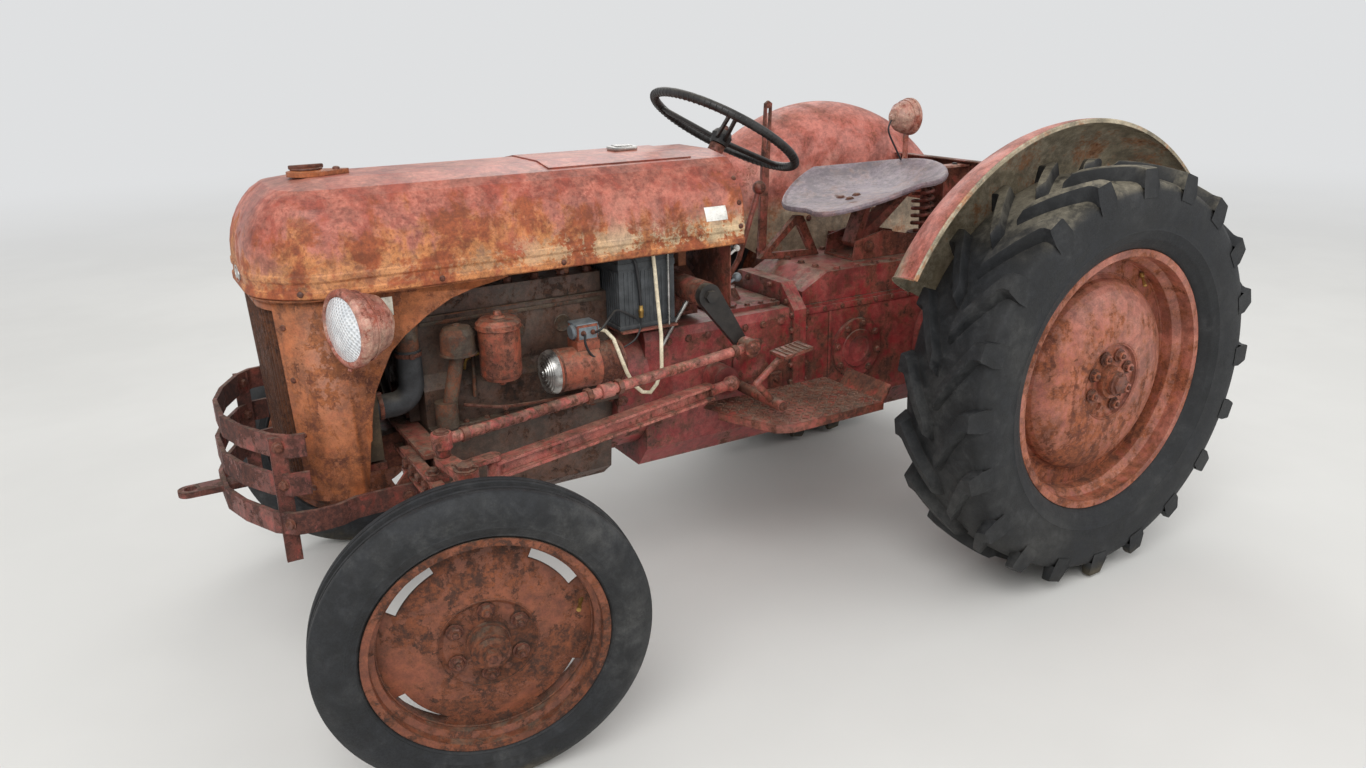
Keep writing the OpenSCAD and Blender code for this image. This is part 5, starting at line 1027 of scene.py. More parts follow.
class TRACTOR_OT_battery_fittings(bpy.types.Operator):
    """Adds the battery's ribs, caps, posts, hold-down and black lead"""

    bl_idname = "tractor.battery_fittings"
    bl_label = "Battery fittings"

    def execute(self, context):
        bm = bmesh.new()
        for x in range(1096, 1240, 12):
            add_box(bm, (x - 2.6, 221.5, 828), (x + 2.6, 224, 962), 0.8)
        for y in range(-28, 216, 12):
            for x, out in ((1244.3, 2.2), (1085.2, -2.2)):
                add_box(bm, (x, y - 2.6, 828), (x + out, y + 2.6, 962), 0.8)
        add_box(bm, (1083, -41.5, 968), (1246.6, 223.8, 984), 1.2)
        add_box(bm, (1083, -41.5, 814), (1246.6, 223.8, 823), 1.2)
        for k in range(6):
            add_lathe(bm, (1206, -16 + 42 * k, 1001.5), UP, [(0, 13), (6, 12), (8, 10), (8, 0)], 16)
        piece("battery_ribs", bm, "battery_case")
        bm = bmesh.new()
        for y in (205, -20):
            add_lathe(bm, (1152, y, 1002), UP, [(0, 11), (14, 9), (15, 0)], 20)
            add_box(bm, (1138, y - 13, 1003), (1170, y + 13, 1012), 2)
        add_box(bm, (1100, -46, 1002.6), (1112, 234, 1008), 1)
        for y in (-44, 230):
            add_tube(bm, [(1106, y, 810), (1106, y, 1018)], 3.2, 8)
            add_bolt(bm, (1106, y, 1008), UP, 7, 6)
        piece("battery_clamps", bm, "bright_metal")
        bm = bmesh.new()
        add_hose(bm, [(1216, 190, 1003), (1214, 214, 1004), (1202, 227, 992), (1195, 228, 960), (1189, 228, 900),
                      (1187, 228, 846)], 4.2, 6, 10)
        add_hose(bm, [(1187, 228, 846), (1192, 232, 818), (1212, 240, 792), (1244, 236, 774), (1262, 232, 768)],
                 2.4, 6)
        piece("battery_lead", bm, "black_wire")
        bm = bmesh.new()
        add_lathe(bm, (1187, 228, 842), UP, [(0, 0), (0, 5), (3, 6.4), (12, 6.4), (14, 7.4), (20, 7.4), (22, 5.6),
                                             (32, 5), (32, 0)], 14)
        piece("lead_ferrule", bm, "brass")
        return {"FINISHED"}


class TRACTOR_OT_filters(bpy.types.Operator):
    """Adds the filters' bolts and seams, the breather's ribs and the dipstick"""

    bl_idname = "tractor.filters"
    bl_label = "Filters"

    def execute(self, context):
        bm = bmesh.new()
        add_band(bm, (*OIL_FILTER, 876), UP, 53.6, 4)
        add_lathe(bm, (*OIL_FILTER, 898.6), UP, [(0, 20), (3, 17), (5, 14), (5, 0)], 24)
        add_bolt(bm, (*OIL_FILTER, 903), UP, 10, 12)
        add_bolt(bm, (*OIL_FILTER, 741.5), DOWN, 9, 10)
        piece("filter_bolts", bm, "filter_paint")
        bm = bmesh.new()
        add_band(bm, (*BREATHER, 823.5), UP, 41, 5, 3.4)
        add_lathe(bm, (*BREATHER, 890.6), UP, [(0, 10), (4, 8), (4, 0)], 18)
        add_tube(bm, [(1625, 178, 700), (1620, 176, 812)], 5, 10)
        add_tube(bm, [(1620, 176, 806), (1618, 175, 846)], 2.2, 8)
        add_ring(bm, (1617.5, 175, 858), LEFT, 11, 2.2, 24)
        add_hose(bm, [(1773, 172, 836), (1772, 170, 880), (1760, 152, 922), (1728, 108, 948)], 25.5, 8, 20)
        piece("breather_rim", bm, "cast_iron")
        return {"FINISHED"}


class TRACTOR_OT_pipes(bpy.types.Operator):
    """Adds the fuel line with its bowl, the throttle rod and the oil lines"""

    bl_idname = "tractor.pipes"
    bl_label = "Pipes"

    def execute(self, context):
        bm = bmesh.new()
        add_hose(bm, [(1340, -120, 1000), (1380, -160, 985), (1440, -200, 940), (1490, -226, 860),
                      (1505, -250, 790), (1505, -240, 762)], 3.4)
        add_hose(bm, [(1567, 190, 800), (1592, 176, 806), (1630, 158, 790), (1636, 150, 764)], 3.6)
        add_hose(bm, [(1500, 152, 700), (1520, 168, 720), (1560, 176, 742), (1567, 200, 748)], 3.6)
        add_lathe(bm, (1340, -120, 990), UP, [(0, 0), (0, 14), (8, 17), (22, 17), (26, 8), (44, 8), (44, 0)], 20)
        piece("fuel_line", bm, "brass")
        bm = bmesh.new()
        add_hose(bm, [(930, -176, 935), (1060, -205, 900), (1250, -214, 868), (1470, -232, 812), (1500, -246, 800)],
                 3.6)
        add_hose(bm, [(1660, 196, 690), (1560, 204, 668), (1420, 206, 662), (1300, 204, 662), (1252, 200, 676)],
                 4.4)
        for x in (1560, 1300):
            add_bolt(bm, (x, 209, 667), LEFT, 6, 5)
        piece("throttle_rod", bm, "bolt_steel")
        return {"FINISHED"}


class TRACTOR_OT_dash(bpy.types.Operator):
    """Adds the gauges, the switches and the hand levers' balls"""

    bl_idname = "tractor.dash"
    bl_label = "Dash"

    def execute(self, context):
        bezel, dial, needle = bmesh.new(), bmesh.new(), bmesh.new()
        for y, z, r in GAUGES:
            add_ring(bezel, (901, y, z), BACK, r - 2, 3, 40)
            add_lathe(dial, (902.4, y, z), BACK, [(0, r - 3), (0.8, r - 3), (0.8, 0)], 32)
            for k in range(9):
                a = math.radians(-40 + 27.5 * k)
                u, v = math.cos(a), math.sin(a)
                add_tube(needle, [(901.4, y + u * (r - d), z + v * (r - d)) for d in (11, 6)], 0.9, 4)
            add_tube(needle, [(900.9, y + 3, z - 4), (900.9, y - (r - 13) * 0.7, z + (r - 13) * 0.7)], 1.0, 5)
            add_lathe(needle, (901.4, y, z), BACK, [(0, 4), (2, 3), (2, 0)], 12)
        piece("gauge_bezels", bezel, "bright_metal")
        piece("gauge_dials", dial, "dial")
        piece("gauge_needles", needle, "black_paint")
        bm = bmesh.new()
        panel = surface("dash_panel")
        for y, z in ((60, 1112), (-60, 1112), (-180, 960), (190, 985)):
            point, normal = hit(panel, (700, y, z), AHEAD)
            add_lathe(bm, point, normal, [(0, 12), (2, 12), (3, 6), (16, 5), (18, 9), (26, 10), (29, 7), (29, 0)],
                      18)
        bolts_on(bm, "dash_panel", AHEAD, 6,
                 both([(700, 214, 1040), (700, 214, 900), (700, 150, 1180), (700, 40, 1190)]), 5)
        piece("dash_knobs", bm, "black_plastic")
        bm = bmesh.new()
        add_hose(bm, [(1098, 176, 740), (1070, 184, 790), (1036, 192, 844), (1024, 195, 866)], 6, 6, 10)
        add_ball(bm, (1022, 196, 874), 17)
        piece("lever_ball", bm, "bright_metal")
        bm = bmesh.new()
        add_hose(bm, [(914, 190, 950), (890, 186, 962), (870, 182, 972)], 3.4, 5)
        add_ball(bm, (862, 180, 976), 9)
        piece("choke_knob", bm, "paper")
        bm = bmesh.new()
        add_hose(bm, [(914, 176, 868), (884, 172, 880), (860, 168, 888)], 4, 5)
        add_ball(bm, (852, 166, 892), 13)
        piece("throttle_knob", bm, "switch_grey")
        return {"FINISHED"}


class TRACTOR_OT_housing_bolts(bpy.types.Operator):
    """Adds the bolts of the gearbox, the centre housing, the axle housings and the lift cover"""

    bl_idname = "tractor.housing_bolts"
    bl_label = "Housing bolts"

    def execute(self, context):
        bm = bmesh.new()
        flange = [(169, z) for z in (500, 552, 604, 656, 708, 756)] + [(140, 790), (58, 826)]
        for node, x, direction in (("gearbox_case", 664.5, BACK), ("centre_case", 613.5, AHEAD)):
            bolts_on(bm, node, direction, 8, both([(x, y, z) for y, z in flange]), 8)
        bolts_from_sides(bm, "centre_case", 9, circle((405, 612), 80, 8, 0.2), 300, 8)
        bolts_from_sides(bm, "centre_case", 8, [(x, 752) for x in range(200, 600, 66)], 300, 7)
        bolts_from_sides(bm, "axle_housings", 10, circle((0, 595), 159, 12, 0.13), 330, 10)
        for side in SIDES:
            spots = [(x, side * 300, z) for x, z in circle((0, 595), 165, 10, 0.3)]
            bolts_on(bm, "axle_housings", (0, side, 0), 9, spots, 8)
        edge = both([(x, 128, 960) for x in range(100, 500, 74)]) + [(505, y, 960) for y in (-70, 0, 70)]
        bolts_on(bm, "lift_cover", DOWN, 10, edge, 9)
        bolts_on(bm, "lift_cover", DOWN, 10, both([(-96, 96, 960), (-140, 60, 960)]), 9)
        bolts_on(bm, "gearbox_case", DOWN, 8, both([(x, 106, 860) for x in (684, 730, 777, 826, 872)]), 7)
        back = [(126, z) for z in (470, 530, 590, 650, 710, 750)] + [(66, 392), (70, 752)]
        bolts_on(bm, "centre_case", AHEAD, 10, both([(-400, y, z) for y, z in back]), 9)
        bolts_on(bm, "steering_column", DOWN, 8, both([(990, 76, 990), (1036, 76, 990), (1014, 84, 990)]), 7)
        bolts_from_sides(bm, "steering_column", 8, [(958, 826), (1066, 812), (1068, 862), (972, 808)], 180, 7)
        bolts_from_sides(bm, "gearbox_case", 9, [(x, 742) for x in range(700, 1120, 62)], 330, 7)
        bolts_from_sides(bm, "gearbox_case", 10, circle((800, 640), 52, 6, 0.4), 330, 8)
        for a in (25, 48, 132, 155, 180, 205, 232, 308, 335, 0):
            y, z = 186 * math.cos(math.radians(a)), 612 + 186 * math.sin(math.radians(a))
            add_lathe(bm, (1222, y, z), AHEAD, disc(13, 23), 16)
            add_bolt(bm, (1222, y, z), BACK, 8, 7, a)
        piece("housing_bolts", bm, "housing_bolt")
        bm = bmesh.new()
        gearbox = surface("gearbox_case")
        for side in SIDES:
            point, normal = hit(gearbox, (800, side * 330, 640), (0, -side, 0))
            add_lathe(bm, point - normal * 2, normal, [(0, 0), (0, 66), (6, 66), (9, 62), (9, 36), (6, 32), (6, 0)],
                      44)
            add_box(bm, (170, side * 148, 742), (600, side * 153, 762), 2)
            add_box(bm, (500, side * 148, 470), (512, side * 153, 742), 3)
            add_lathe(bm, (405, side * 161, 612), (0, side, 0), [(0, 0), (0, 60), (5, 58), (7, 40), (3, 34),
                                                                 (3, 0)], 40)
        add_lathe(bm, (-163, 0, 520), BACK, [(0, 0), (0, 86), (8, 86), (10, 82), (10, 0)], 40)
        piece("housing_covers", bm, "cast_paint")
        return {"FINISHED"}


class TRACTOR_OT_front_bolts(bpy.types.Operator):
    """Adds the bolts of the front axle, the radius rods and the bumper"""

    bl_idname = "tractor.front_bolts"
    bl_label = "Front axle bolts"

    def execute(self, context):
        bm = bmesh.new()
        bolts_on(bm, "front_axle", BACK, 12, both([(1900, y, 594) for y in (240, 290, 340, 392)]), 12)
        bolts_on(bm, "front_axle", AHEAD, 12, both([(1700, y, 600) for y in (240, 290)]), 12)
        bolts_on(bm, "front_axle", BACK, 24, [(2050, 0, 574)], 14)
        bolts_on(bm, "radius_rods", DOWN, 14, both([(1815, 430, 700)]), 12)
        bolts_on(bm, "radius_rods", UP, 14, both([(1815, 430, 480)]), 12)
        bolts_from_sides(bm, "bumper", 11, [(2095, 526), (2095, 614), (2095, 702), (1834, 526)], 450, 8)
        for side in SIDES:
            bolts_on(bm, "bumper", (0, side, 0), 10, [(2095, 0, z) for z in (526, 614, 702)], 10)
        bolts_on(bm, "bumper", DOWN, 12, both([(2150, 14, 600)]), 8)
        piece("front_bolts", bm, "bolt_steel")
        for side, tip in ((1, (1793.1, 446.1)), (-1, (1830.0, -459.5))):
            name = SIDE_NAMES[side]
            bm = bmesh.new()
            add_bolt(bm, (KINGPIN.x, side * KINGPIN.y, 678), UP, 20, 14)
            bolts_on(bm, f"knuckle_{name}", UP, 11, [(tip[0], tip[1], 600)], 12)
            add_tube(bm, [(KINGPIN.x - 22 * k, side * KINGPIN.y + 20 * k, 686) for k in (1, -1)], 2.4, 6)
            piece(f"knuckle_{name}_nuts", bm, "bolt_steel", f"knuckle_{name}")
            bm = bmesh.new()
            add_bolt(bm, (*tip, 729.5), UP, 14, 8)
            back = Vector((910.4, 310, 737.3) if side > 0 else (949.1, -310, 716.4))
            ahead = Vector((*tip, 712))
            for share in (0.47, 0.57):
                add_lathe(bm, back.lerp(ahead, share), ahead - back, disc(19, 14), 6)
            for share in (0.06, 0.94):
                add_band(bm, back.lerp(ahead, share), ahead - back, 13, 16, 3.5, 20)
            piece(f"drag_link_{name}_nuts", bm, "bolt_steel", f"drag_link_{name}")
        return {"FINISHED"}


class TRACTOR_OT_hood_fittings(bpy.types.Operator):
    """Adds the hood's bare oval badge, its blank sticker, the screws and the cap's wings"""

    bl_idname = "tractor.hood_fittings"
    bl_label = "Hood fittings"

    def execute(self, context):
        hood = surface("hood")
        point, normal = hit(hood, (2300, 0, 1031), BACK)
        bm = bmesh.new()
        add_plate(bm, point - normal, normal, oval(31, 20), 3.4, 1.6)
        u, v = frame_of(normal)
        ring = [point + normal * 2.2 + u * a + v * b for a, b in oval(29, 18, 56)]
        add_tube(bm, ring, 2.0, 8, True)
        piece("nose_badge", bm, "bright_metal", "hood_assembly")
        bm = bmesh.new()
        rows = []
        for j in range(4):
            z = 1071 + 12 * j
            rows.append([hit(hood, (936 + 13 * i + 2 * j, 500, z), (0, -1, 0)) for i in range(6)])
        for lift in (0.9, -0.4):
            join(bm, [[bm.verts.new(p + n * lift) for p, n in row] for row in rows], closed=False)
        piece("blank_sticker", bm, "paper", "hood_assembly")
        bm = bmesh.new()
        shell = surface("grille_shell")
        rays = [(hood, (x, side * 500, z), (0, -side, 0)) for side in SIDES for x, z in (
            (898, 1050), (898, 1110), (898, 1170), (1404, 1016), (1700, 1016), (2000, 1016))]
        rays += [(shell, (2300, y, z), BACK) for y in (-190, 190) for z in (560, 690, 820, 940)]
        for ray in rays:
            at, out = hit(*ray)
            add_lathe(bm, at - out * 0.4, out, [(0, 7), (1.6, 6.6), (3.2, 4.4), (3.8, 0)], 16)
        add_box(bm, (1874, -5, 1249.6), (1950, 5, 1259), 3)
        add_ring(bm, (1912, 0, 1250), UP, 33, 2.6, 48)
        add_lathe(bm, (1846, 0, 1243.6), UP, [(0, 9), (5, 8), (7, 5), (7, 0)], 18)
        piece("hood_screws", bm, "bolt_steel", "hood_assembly")
        bm = bmesh.new()
        add_box(bm, (1073, -24, 1237.8), (1143, 24, 1249), 4)
        add_box(bm, (1084, -17, 1248), (1132, 17, 1252), 1.6)
        piece("door_pull", bm, "bright_metal", "filler_door")
        bm = bmesh.new()
        add_lathe(bm, (*FUEL_CAP, 1207), UP, [(0, 0), (0, 36), (4, 38), (14, 38), (16, 34), (16, 0)], 36)
        for x, y in circle(FUEL_CAP, 38, 16):
            add_tube(bm, [(x, y, 1211), (x, y, 1220)], 2.6, 6)
        piece("fuel_cap", bm, "bolt_steel")
        return {"FINISHED"}


LAMP_TURN = math.radians(17)


class TRACTOR_OT_headlamp_fittings(bpy.types.Operator):
    """Adds the headlamps' glass, rims, screws and brackets"""

    bl_idname = "tractor.headlamp_fittings"
    bl_label = "Headlamp fittings"

    def execute(self, context):
        glass, rim, bracket = bmesh.new(), bmesh.new(), bmesh.new()
        for side in SIDES:
            place = Matrix.Translation((1928, side * 322, 952)) @ Matrix.Rotation(side * LAMP_TURN, 4, "Z")
            centre, axis = place.to_translation(), place.to_3x3() @ AHEAD
            add_lathe(glass, centre, axis, [(9, 70), (13.5, 69), (16, 62), (18.6, 54), (23.4, 40),
                                                               (25.4, 20), (26, 0)], 64)
            add_lathe(rim, centre, axis, [(-8, 80), (-7, 83.5), (-3, 84.6), (9, 84.6), (13, 82.5),
                                                             (16.4, 77), (16.8, 73), (14, 69.6), (9, 69)], 72)
            add_bolt(rim, place @ Vector((8, 0, -84)), place.to_3x3() @ Vector((0.3, 0, -1)), 5, 8)
            add_band(rim, place @ Vector((-26, 0, 0)), axis, 75, 4, 2, 64)
            add_bolt(bracket, place @ Vector((-92, 0, 0)), -axis, 12, 10)
            add_box(bracket, (1812, side * 237.6, 946), (1850, side * 240.4, 988), 1)
            for x, z in ((1821, 955), (1841, 979)):
                add_bolt(bracket, (x, side * 240.2, z), (0, side, 0), 4.5, 4)
            add_hose(bracket, [(1840, side * 262, 938), (1832, side * 250, 930), (1828, side * 240, 924)], 4, 5)
        piece("headlamp_glass", glass, "lens_glass", "hood_assembly", 30)
        piece("headlamp_rims", rim, "lamp_steel", "hood_assembly", 50)
        piece("headlamp_brackets", bracket, "pale_metal", "hood_assembly")
        return {"FINISHED"}


WHEEL_CENTRE = (783.2, 0, 1270.7)
WHEEL_LEAN = math.radians(31)
GRIP_RIBS = 84


class TRACTOR_OT_wheel_grip(bpy.types.Operator):
    """Adds the steering wheel's ribbed grip and its nut"""

    bl_idname = "tractor.wheel_grip"
    bl_label = "Steering wheel grip"

    def execute(self, context):
        place = Matrix.Translation(WHEEL_CENTRE) @ Matrix.Rotation(-WHEEL_LEAN, 4, "Y")
        bm = bmesh.new()
        for k in range(GRIP_RIBS):
            a = 2 * math.pi * k / GRIP_RIBS
            out = Vector((math.cos(a), math.sin(a), 0))
            ring = [out * 216.5 + (out * math.cos(b) + UP * math.sin(b)) * 12.1
                    for b in (math.pi * (0.92 + 1.16 * n / 8) for n in range(9))]
            add_tube(bm, ring, 1.5, 5)
        add_lathe(bm, (0, 0, -6), UP, [(0, 24), (3, 22), (5, 18), (5, 0)], 32)
        bm.transform(place)
        piece("wheel_grip_ribs", bm, "black_plastic", "steering_wheel")
        bm = bmesh.new()
        add_bolt(bm, (0, 0, -1), UP, 14, 9)
        add_lathe(bm, (0, 0, 5), UP, [(0, 7), (7, 7), (8, 6), (8, 0)], 16)
        bm.transform(place)
        piece("wheel_nut", bm, "bolt_steel", "steering_wheel")
        return {"FINISHED"}


class TRACTOR_OT_hub_fittings(bpy.types.Operator):
    """Adds the hub nuts, the stud ends, the weld beads and the valves to all wheels"""

    bl_idname = "tractor.hub_fittings"
    bl_label = "Hub fittings"

    def execute(self, context):
        for side, name in SIDE_NAMES.items():
            out = Vector((0, side, 0))
            centre = REAR_AXLE + out * HALF_TREAD
            bm = bmesh.new()
            add_lathe(bm, centre + out * 119, out, disc(33, 2), 24)
            add_bolt(bm, centre + out * 120, out, 27, 15)
            add_tube(bm, [centre + out * 131 + UP * 32, centre + out * 131 - UP * 32], 2.6, 6)
            for n, (x, z) in enumerate(circle((0, 595), 76, 8, math.pi / 8)):
                if n != (6 if side > 0 else 8):
                    add_bolt(bm, (x, centre.y + side * 92, z), out, 15.5, 12.4, n)
                    add_lathe(bm, (x, centre.y + side * 104, z), out, [(0, 6.5), (6, 6.5), (7.5, 5), (7.5, 0)], 12)
            piece(f"rear_hub_{name}_nuts", bm, "bolt_steel", f"rear_wheel_{name}")
            bm = bmesh.new()
            add_ring(bm, centre + out * 13, LEFT, 333, 3.2, 120)
            add_ring(bm, centre + out * 12.5, LEFT, 291, 2.2, 120)
            add_ring(bm, centre + out * 97, LEFT, 108, 2.2, 80)
            piece(f"rear_wheel_{name}_beads", bm, "wheel_paint", f"rear_wheel_{name}")
            bm = bmesh.new()
            at = centre + Vector((326 * math.cos(2.2), side * 16, 326 * math.sin(2.2)))
            add_lathe(bm, at, (-math.cos(2.2), side * 0.9, -math.sin(2.2)),
                      [(-2, 7), (10, 6), (12, 4), (30, 4), (31, 5.2), (42, 5.2),
                                                                  (43, 0)], 14)
            piece(f"rear_valve_{name}", bm, "brass", f"rear_wheel_{name}")
            place = front_wheel_place(side)
            bm = bmesh.new()
            for x, z in circle((0, 0), 76, 6, math.pi / 6):
                add_bolt(bm, (x, 20, z), LEFT, 15, 12.6, x)
                add_lathe(bm, (x, 32, z), LEFT, [(0, 6), (6, 6), (7.5, 4.6), (7.5, 0)], 12)
            add_lathe(bm, (0, 83, 0), LEFT, [(0, 9), (3, 9), (4, 6), (4, 0)], 16)
            bm.transform(place)
            piece(f"front_hub_{name}_studs", bm, "bolt_steel", f"front_wheel_{name}")
            bm = bmesh.new()
            add_ring(bm, (0, 5, 0), LEFT, 223, 2.6, 110)
            add_ring(bm, (0, 26, 0), LEFT, 103, 1.8, 72)
            add_ring(bm, (0, 19, 0), LEFT, 43, 3, 48)
            bm.transform(place)
            piece(f"front_wheel_{name}_beads", bm, "front_wheel_paint", f"front_wheel_{name}")
            bm = bmesh.new()
            add_lathe(bm, (205 * math.cos(2.9), 8, 205 * math.sin(2.9)),
                      (-math.cos(2.9) * 0.4, 1, -math.sin(2.9) * 0.4),
                      [(-6, 6), (6, 5), (8, 4), (24, 4), (25, 5), (34, 5), (35, 0)], 14)
            bm.transform(place)
            piece(f"front_valve_{name}", bm, "brass", f"front_wheel_{name}")
        return {"FINISHED"}


FENDER_FROM, FENDER_TO = math.radians(29), math.radians(152)


class TRACTOR_OT_fender_edges(bpy.types.Operator):
    """Adds the fenders' rolled edges and bolts"""

    bl_idname = "tractor.fender_edges"
    bl_label = "Fender edges"

    def execute(self, context):
        for side, name in SIDE_NAMES.items():
            bm = bmesh.new()
            arc = [FENDER_FROM + (FENDER_TO - FENDER_FROM) * k / 60 for k in range(61)]
            add_tube(bm, [(695 * math.cos(a), side * 599, 595 + 695 * math.sin(a)) for a in arc], 5, 10)
            for a in (FENDER_FROM, FENDER_TO):
                edge = [(699 - 175 * (1 - math.cos(b)), side * (600 - 175 * math.sin(b)))
                        for b in (math.pi / 2 * n / 10 for n in range(11))]
                add_tube(bm, [(r * math.cos(a), y, 595 + r * math.sin(a)) for r, y in edge], 3.4, 8)
            piece(f"fender_{name}_edge", bm, "fender_paint")
            bm = bmesh.new()
            tree = surface(f"fender_{name}")
            for x, z in ((-45, 790), (45, 790), (-45, 835), (45, 835), (-150, 905), (150, 905)):
                point, normal = hit(tree, (x, 0, z), (0, side, 0))
                add_bolt(bm, point - normal * SUNK, normal, 9, 7, x)
            piece(f"fender_{name}_bolts", bm, "bolt_steel")
        return {"FINISHED"}


class TRACTOR_OT_seat_fittings(bpy.types.Operator):
    """Adds the seat's bolts and the stand's pins"""

    bl_idname = "tractor.seat_fittings"
    bl_label = "Seat fittings"

    def execute(self, context):
        bm = bmesh.new()
        bolts_on(bm, "seat", DOWN, 11, [(296, 0, 1300), (340, 22, 1300), (340, -22, 1300)], 6)
        bolts_on(bm, "seat_support", DOWN, 9, both([(345, 46, 1200), (120, 50, 1200)]), 8)
        for y in (-73, 73):
            add_bolt(bm, (300, y, 900), (0, math.copysign(1, y), 0), 15, 10)
        bolts_on(bm, "seat_support", DOWN, 12, [(15, 0, 1300)], 8)
        bolts_on(bm, "cross_panel", BACK, 8, [(0, y, 1030) for y in (-380, -250, 250, 380)], 6)
        bolts_on(bm, "levers", (0, 1, 0), 9, [(586, -400, 890)], 8)
        piece("seat_bolts", bm, "bolt_steel")
        return {"FINISHED"}


STEP_TOP = 552
STEP_REACH = 0.05  # metres that the rays look down for the plate
STEP_MARGIN = 0.008  # metres of plate that each mark of the pattern needs beside it


class TRACTOR_OT_step_tread(bpy.types.Operator):
    """Adds the raised pattern on the step plates and the pedals"""

    bl_idname = "tractor.step_tread"
    bl_label = "Step tread"

    def execute(self, context):
        steps, pedals = surface("step_plates"), surface("pedals")
        bm = bmesh.new()
        for side in SIDES:
            for i in range(23):
                for j in range(15):
                    x, y = 560 + 18 * i, side * (196 + 17 * j)
                    start = TO_FRAME @ Vector((x, y, STEP_TOP + 28))
                    point = steps.ray_cast(start, DOWN, STEP_REACH)[0]
                    edge = steps.ray_cast(start + STEP_MARGIN * Vector((1, side, 0)), DOWN, STEP_REACH)[0]
                    if point is None or edge is None or abs(point.z * 1000 - STEP_TOP) > 1:
                        continue
                    lean = 1 if (i + j) % 2 else -1
                    u, v = Vector((5.4, 5.4 * lean, 0)), Vector((-1.5 * lean, 1.5, 0))
                    base = Vector((x, y, STEP_TOP - 0.2))
                    foot, top = [[bm.verts.new(base + (u * a + v * b) * share + UP * rise)
                                  for a, b in ((-1, -1), (1, -1), (1, 1), (-1, 1))]
                                 for share, rise in ((1, 0), (0.7, 2.4))]
                    join(bm, (foot, top))
                    bm.faces.new(top)
            for y, half in (((400, 30),) if side > 0 else ((374, 21), (428, 21))):
                for x in (804, 820, 836, 852, 868):
                    point, normal = hit(pedals, (x, side * y, 800), DOWN)
                    add_box(bm, point - Vector((2.6, half, 1)), point + Vector((2.6, half, 2.6)), 0.8)
        piece("step_pattern", bm, "step_steel")
        bm = bmesh.new()
        bolts_on(bm, "step_plates", DOWN, 9, both([(720, 240, 600), (720, 390, 600)]), 5)
        bolts_from_sides(bm, "step_plates", 9, [(720, 575), (720, 520)], 195, 8)
        for side in SIDES:
            bolts_on(bm, "pedals", (0, -side, 0), 10, [(868, side * 560, 590)], 6)
        piece("step_bolts", bm, "bolt_steel")
        return {"FINISHED"}


class TRACTOR_OT_hitch_fittings(bpy.types.Operator):
    """Adds the hitch's pins, turnbuckles and the power shaft's splines"""

    bl_idname = "tractor.hitch_fittings"
    bl_label = "Hitch fittings"

    def execute(self, context):
        arms, links, rods, body = bmesh.new(), bmesh.new(), bmesh.new(), bmesh.new()
        for side in SIDES:
            out = (0, side, 0)
            add_bolt(arms, (-25, side * 208, 812), out, 18, 10)
            add_band(arms, (-25, side * 184, 812), out, 40, 3, 2.4)
            add_ring(links, (-752.8, side * 361.5, 302), LEFT, 22, 3, 40)
            add_ring(links, (-20, side * 228, 405), LEFT, 22, 2.6, 36)
            add_bolt(body, (-20, side * 246, 405), out, 14, 9)
            top, foot = Vector((-266.5, side * 218, 747.3)), Vector((-411, side * 286, 350))
            for share in (0.38, 0.62):
                add_lathe(rods, top.lerp(foot, share), foot - top, disc(17, 12), 6)
            add_bolt(rods, (-266.5, side * 225, 747.3), out, 12, 8)
        piece("lift_arm_nuts", arms, "bolt_steel", "lift_arms")
        piece("link_rings", links, "bolt_steel", "lower_links")
        piece("lift_rod_nuts", rods, "bolt_steel", "lift_rods")
        for a in range(6):
            u, v = math.cos(math.pi * a / 3), math.sin(math.pi * a / 3)
            add_tube(body, [(-187, u * 16, 520 + v * 16), (-254, u * 16, 520 + v * 16)], 2.4, 6)
        piece("hitch_pins", body, "bolt_steel")
        return {"FINISHED"}


class TRACTOR_OT_rear_lamp_fittings(bpy.types.Operator):
    """Adds the rear lamp's glass, rim and wire"""

    bl_idname = "tractor.rear_lamp_fittings"
    bl_label = "Rear lamp fittings"

    def execute(self, context):
        at = Vector((10, -100, 1265))
        bm = bmesh.new()
        add_lathe(bm, at, BACK, [(2, 47), (7.5, 46), (11, 34), (13, 18), (13.6, 0)], 48)
        piece("rear_lamp_glass", bm, "lens_glass")
        bm = bmesh.new()
        add_lathe(bm, at, BACK, [(2, 57.4), (4, 59), (12, 59), (15, 56), (16, 51), (14, 47), (9, 46.6)], 56)
        add_band(bm, at + AHEAD * 12, AHEAD, 51.5, 5, 2, 48)
        add_lathe(bm, at + AHEAD * 60, AHEAD, [(0, 12), (6, 10), (12, 6), (12, 0)], 20)
        piece("rear_lamp_rim", bm, "lamp_steel")
        bm = bmesh.new()
        add_hose(bm, [at + Vector((66, 0, -4)), at + Vector((80, 4, -40)), at + Vector((52, 10, -96)),
                      at + Vector((20, 12, -146))], 3)
        bolts_on(bm, "rear_lamp", DOWN, 8, [(-150, -100, 1200), (-220, -100, 1200)], 6)
        piece("rear_lamp_wire", bm, "black_wire")
        return {"FINISHED"}


SKY = (0.90, 0.91, 0.92)
SKY_STRENGTH = 0.82
# Soft round lights in metres: name, place, width, share of the key light's power.
LIGHTS = (("key", (3.0, 3.4, 4.6), 4.0, 1.0), ("fill", (-3.6, 4.6, 3.4), 4.5, 0.42),
          ("back", (-2.5, -4.6, 4.4), 4.0, 0.5))
LIGHT_AIM = Vector((0, 0, 0.5))
# The photo's view: where the camera stands in metres, which way it turns in radians, and its focal length
# and the picture's width in pixels.
EYE = (1.5894, 2.4005, 1.5049)
YAW, PITCH, ROLL = -2.1023, 0.3309, -0.0175
FOCAL_PIXELS, PHOTO_WIDTH = 993.58, 1366
SENSOR_WIDTH = 36.0


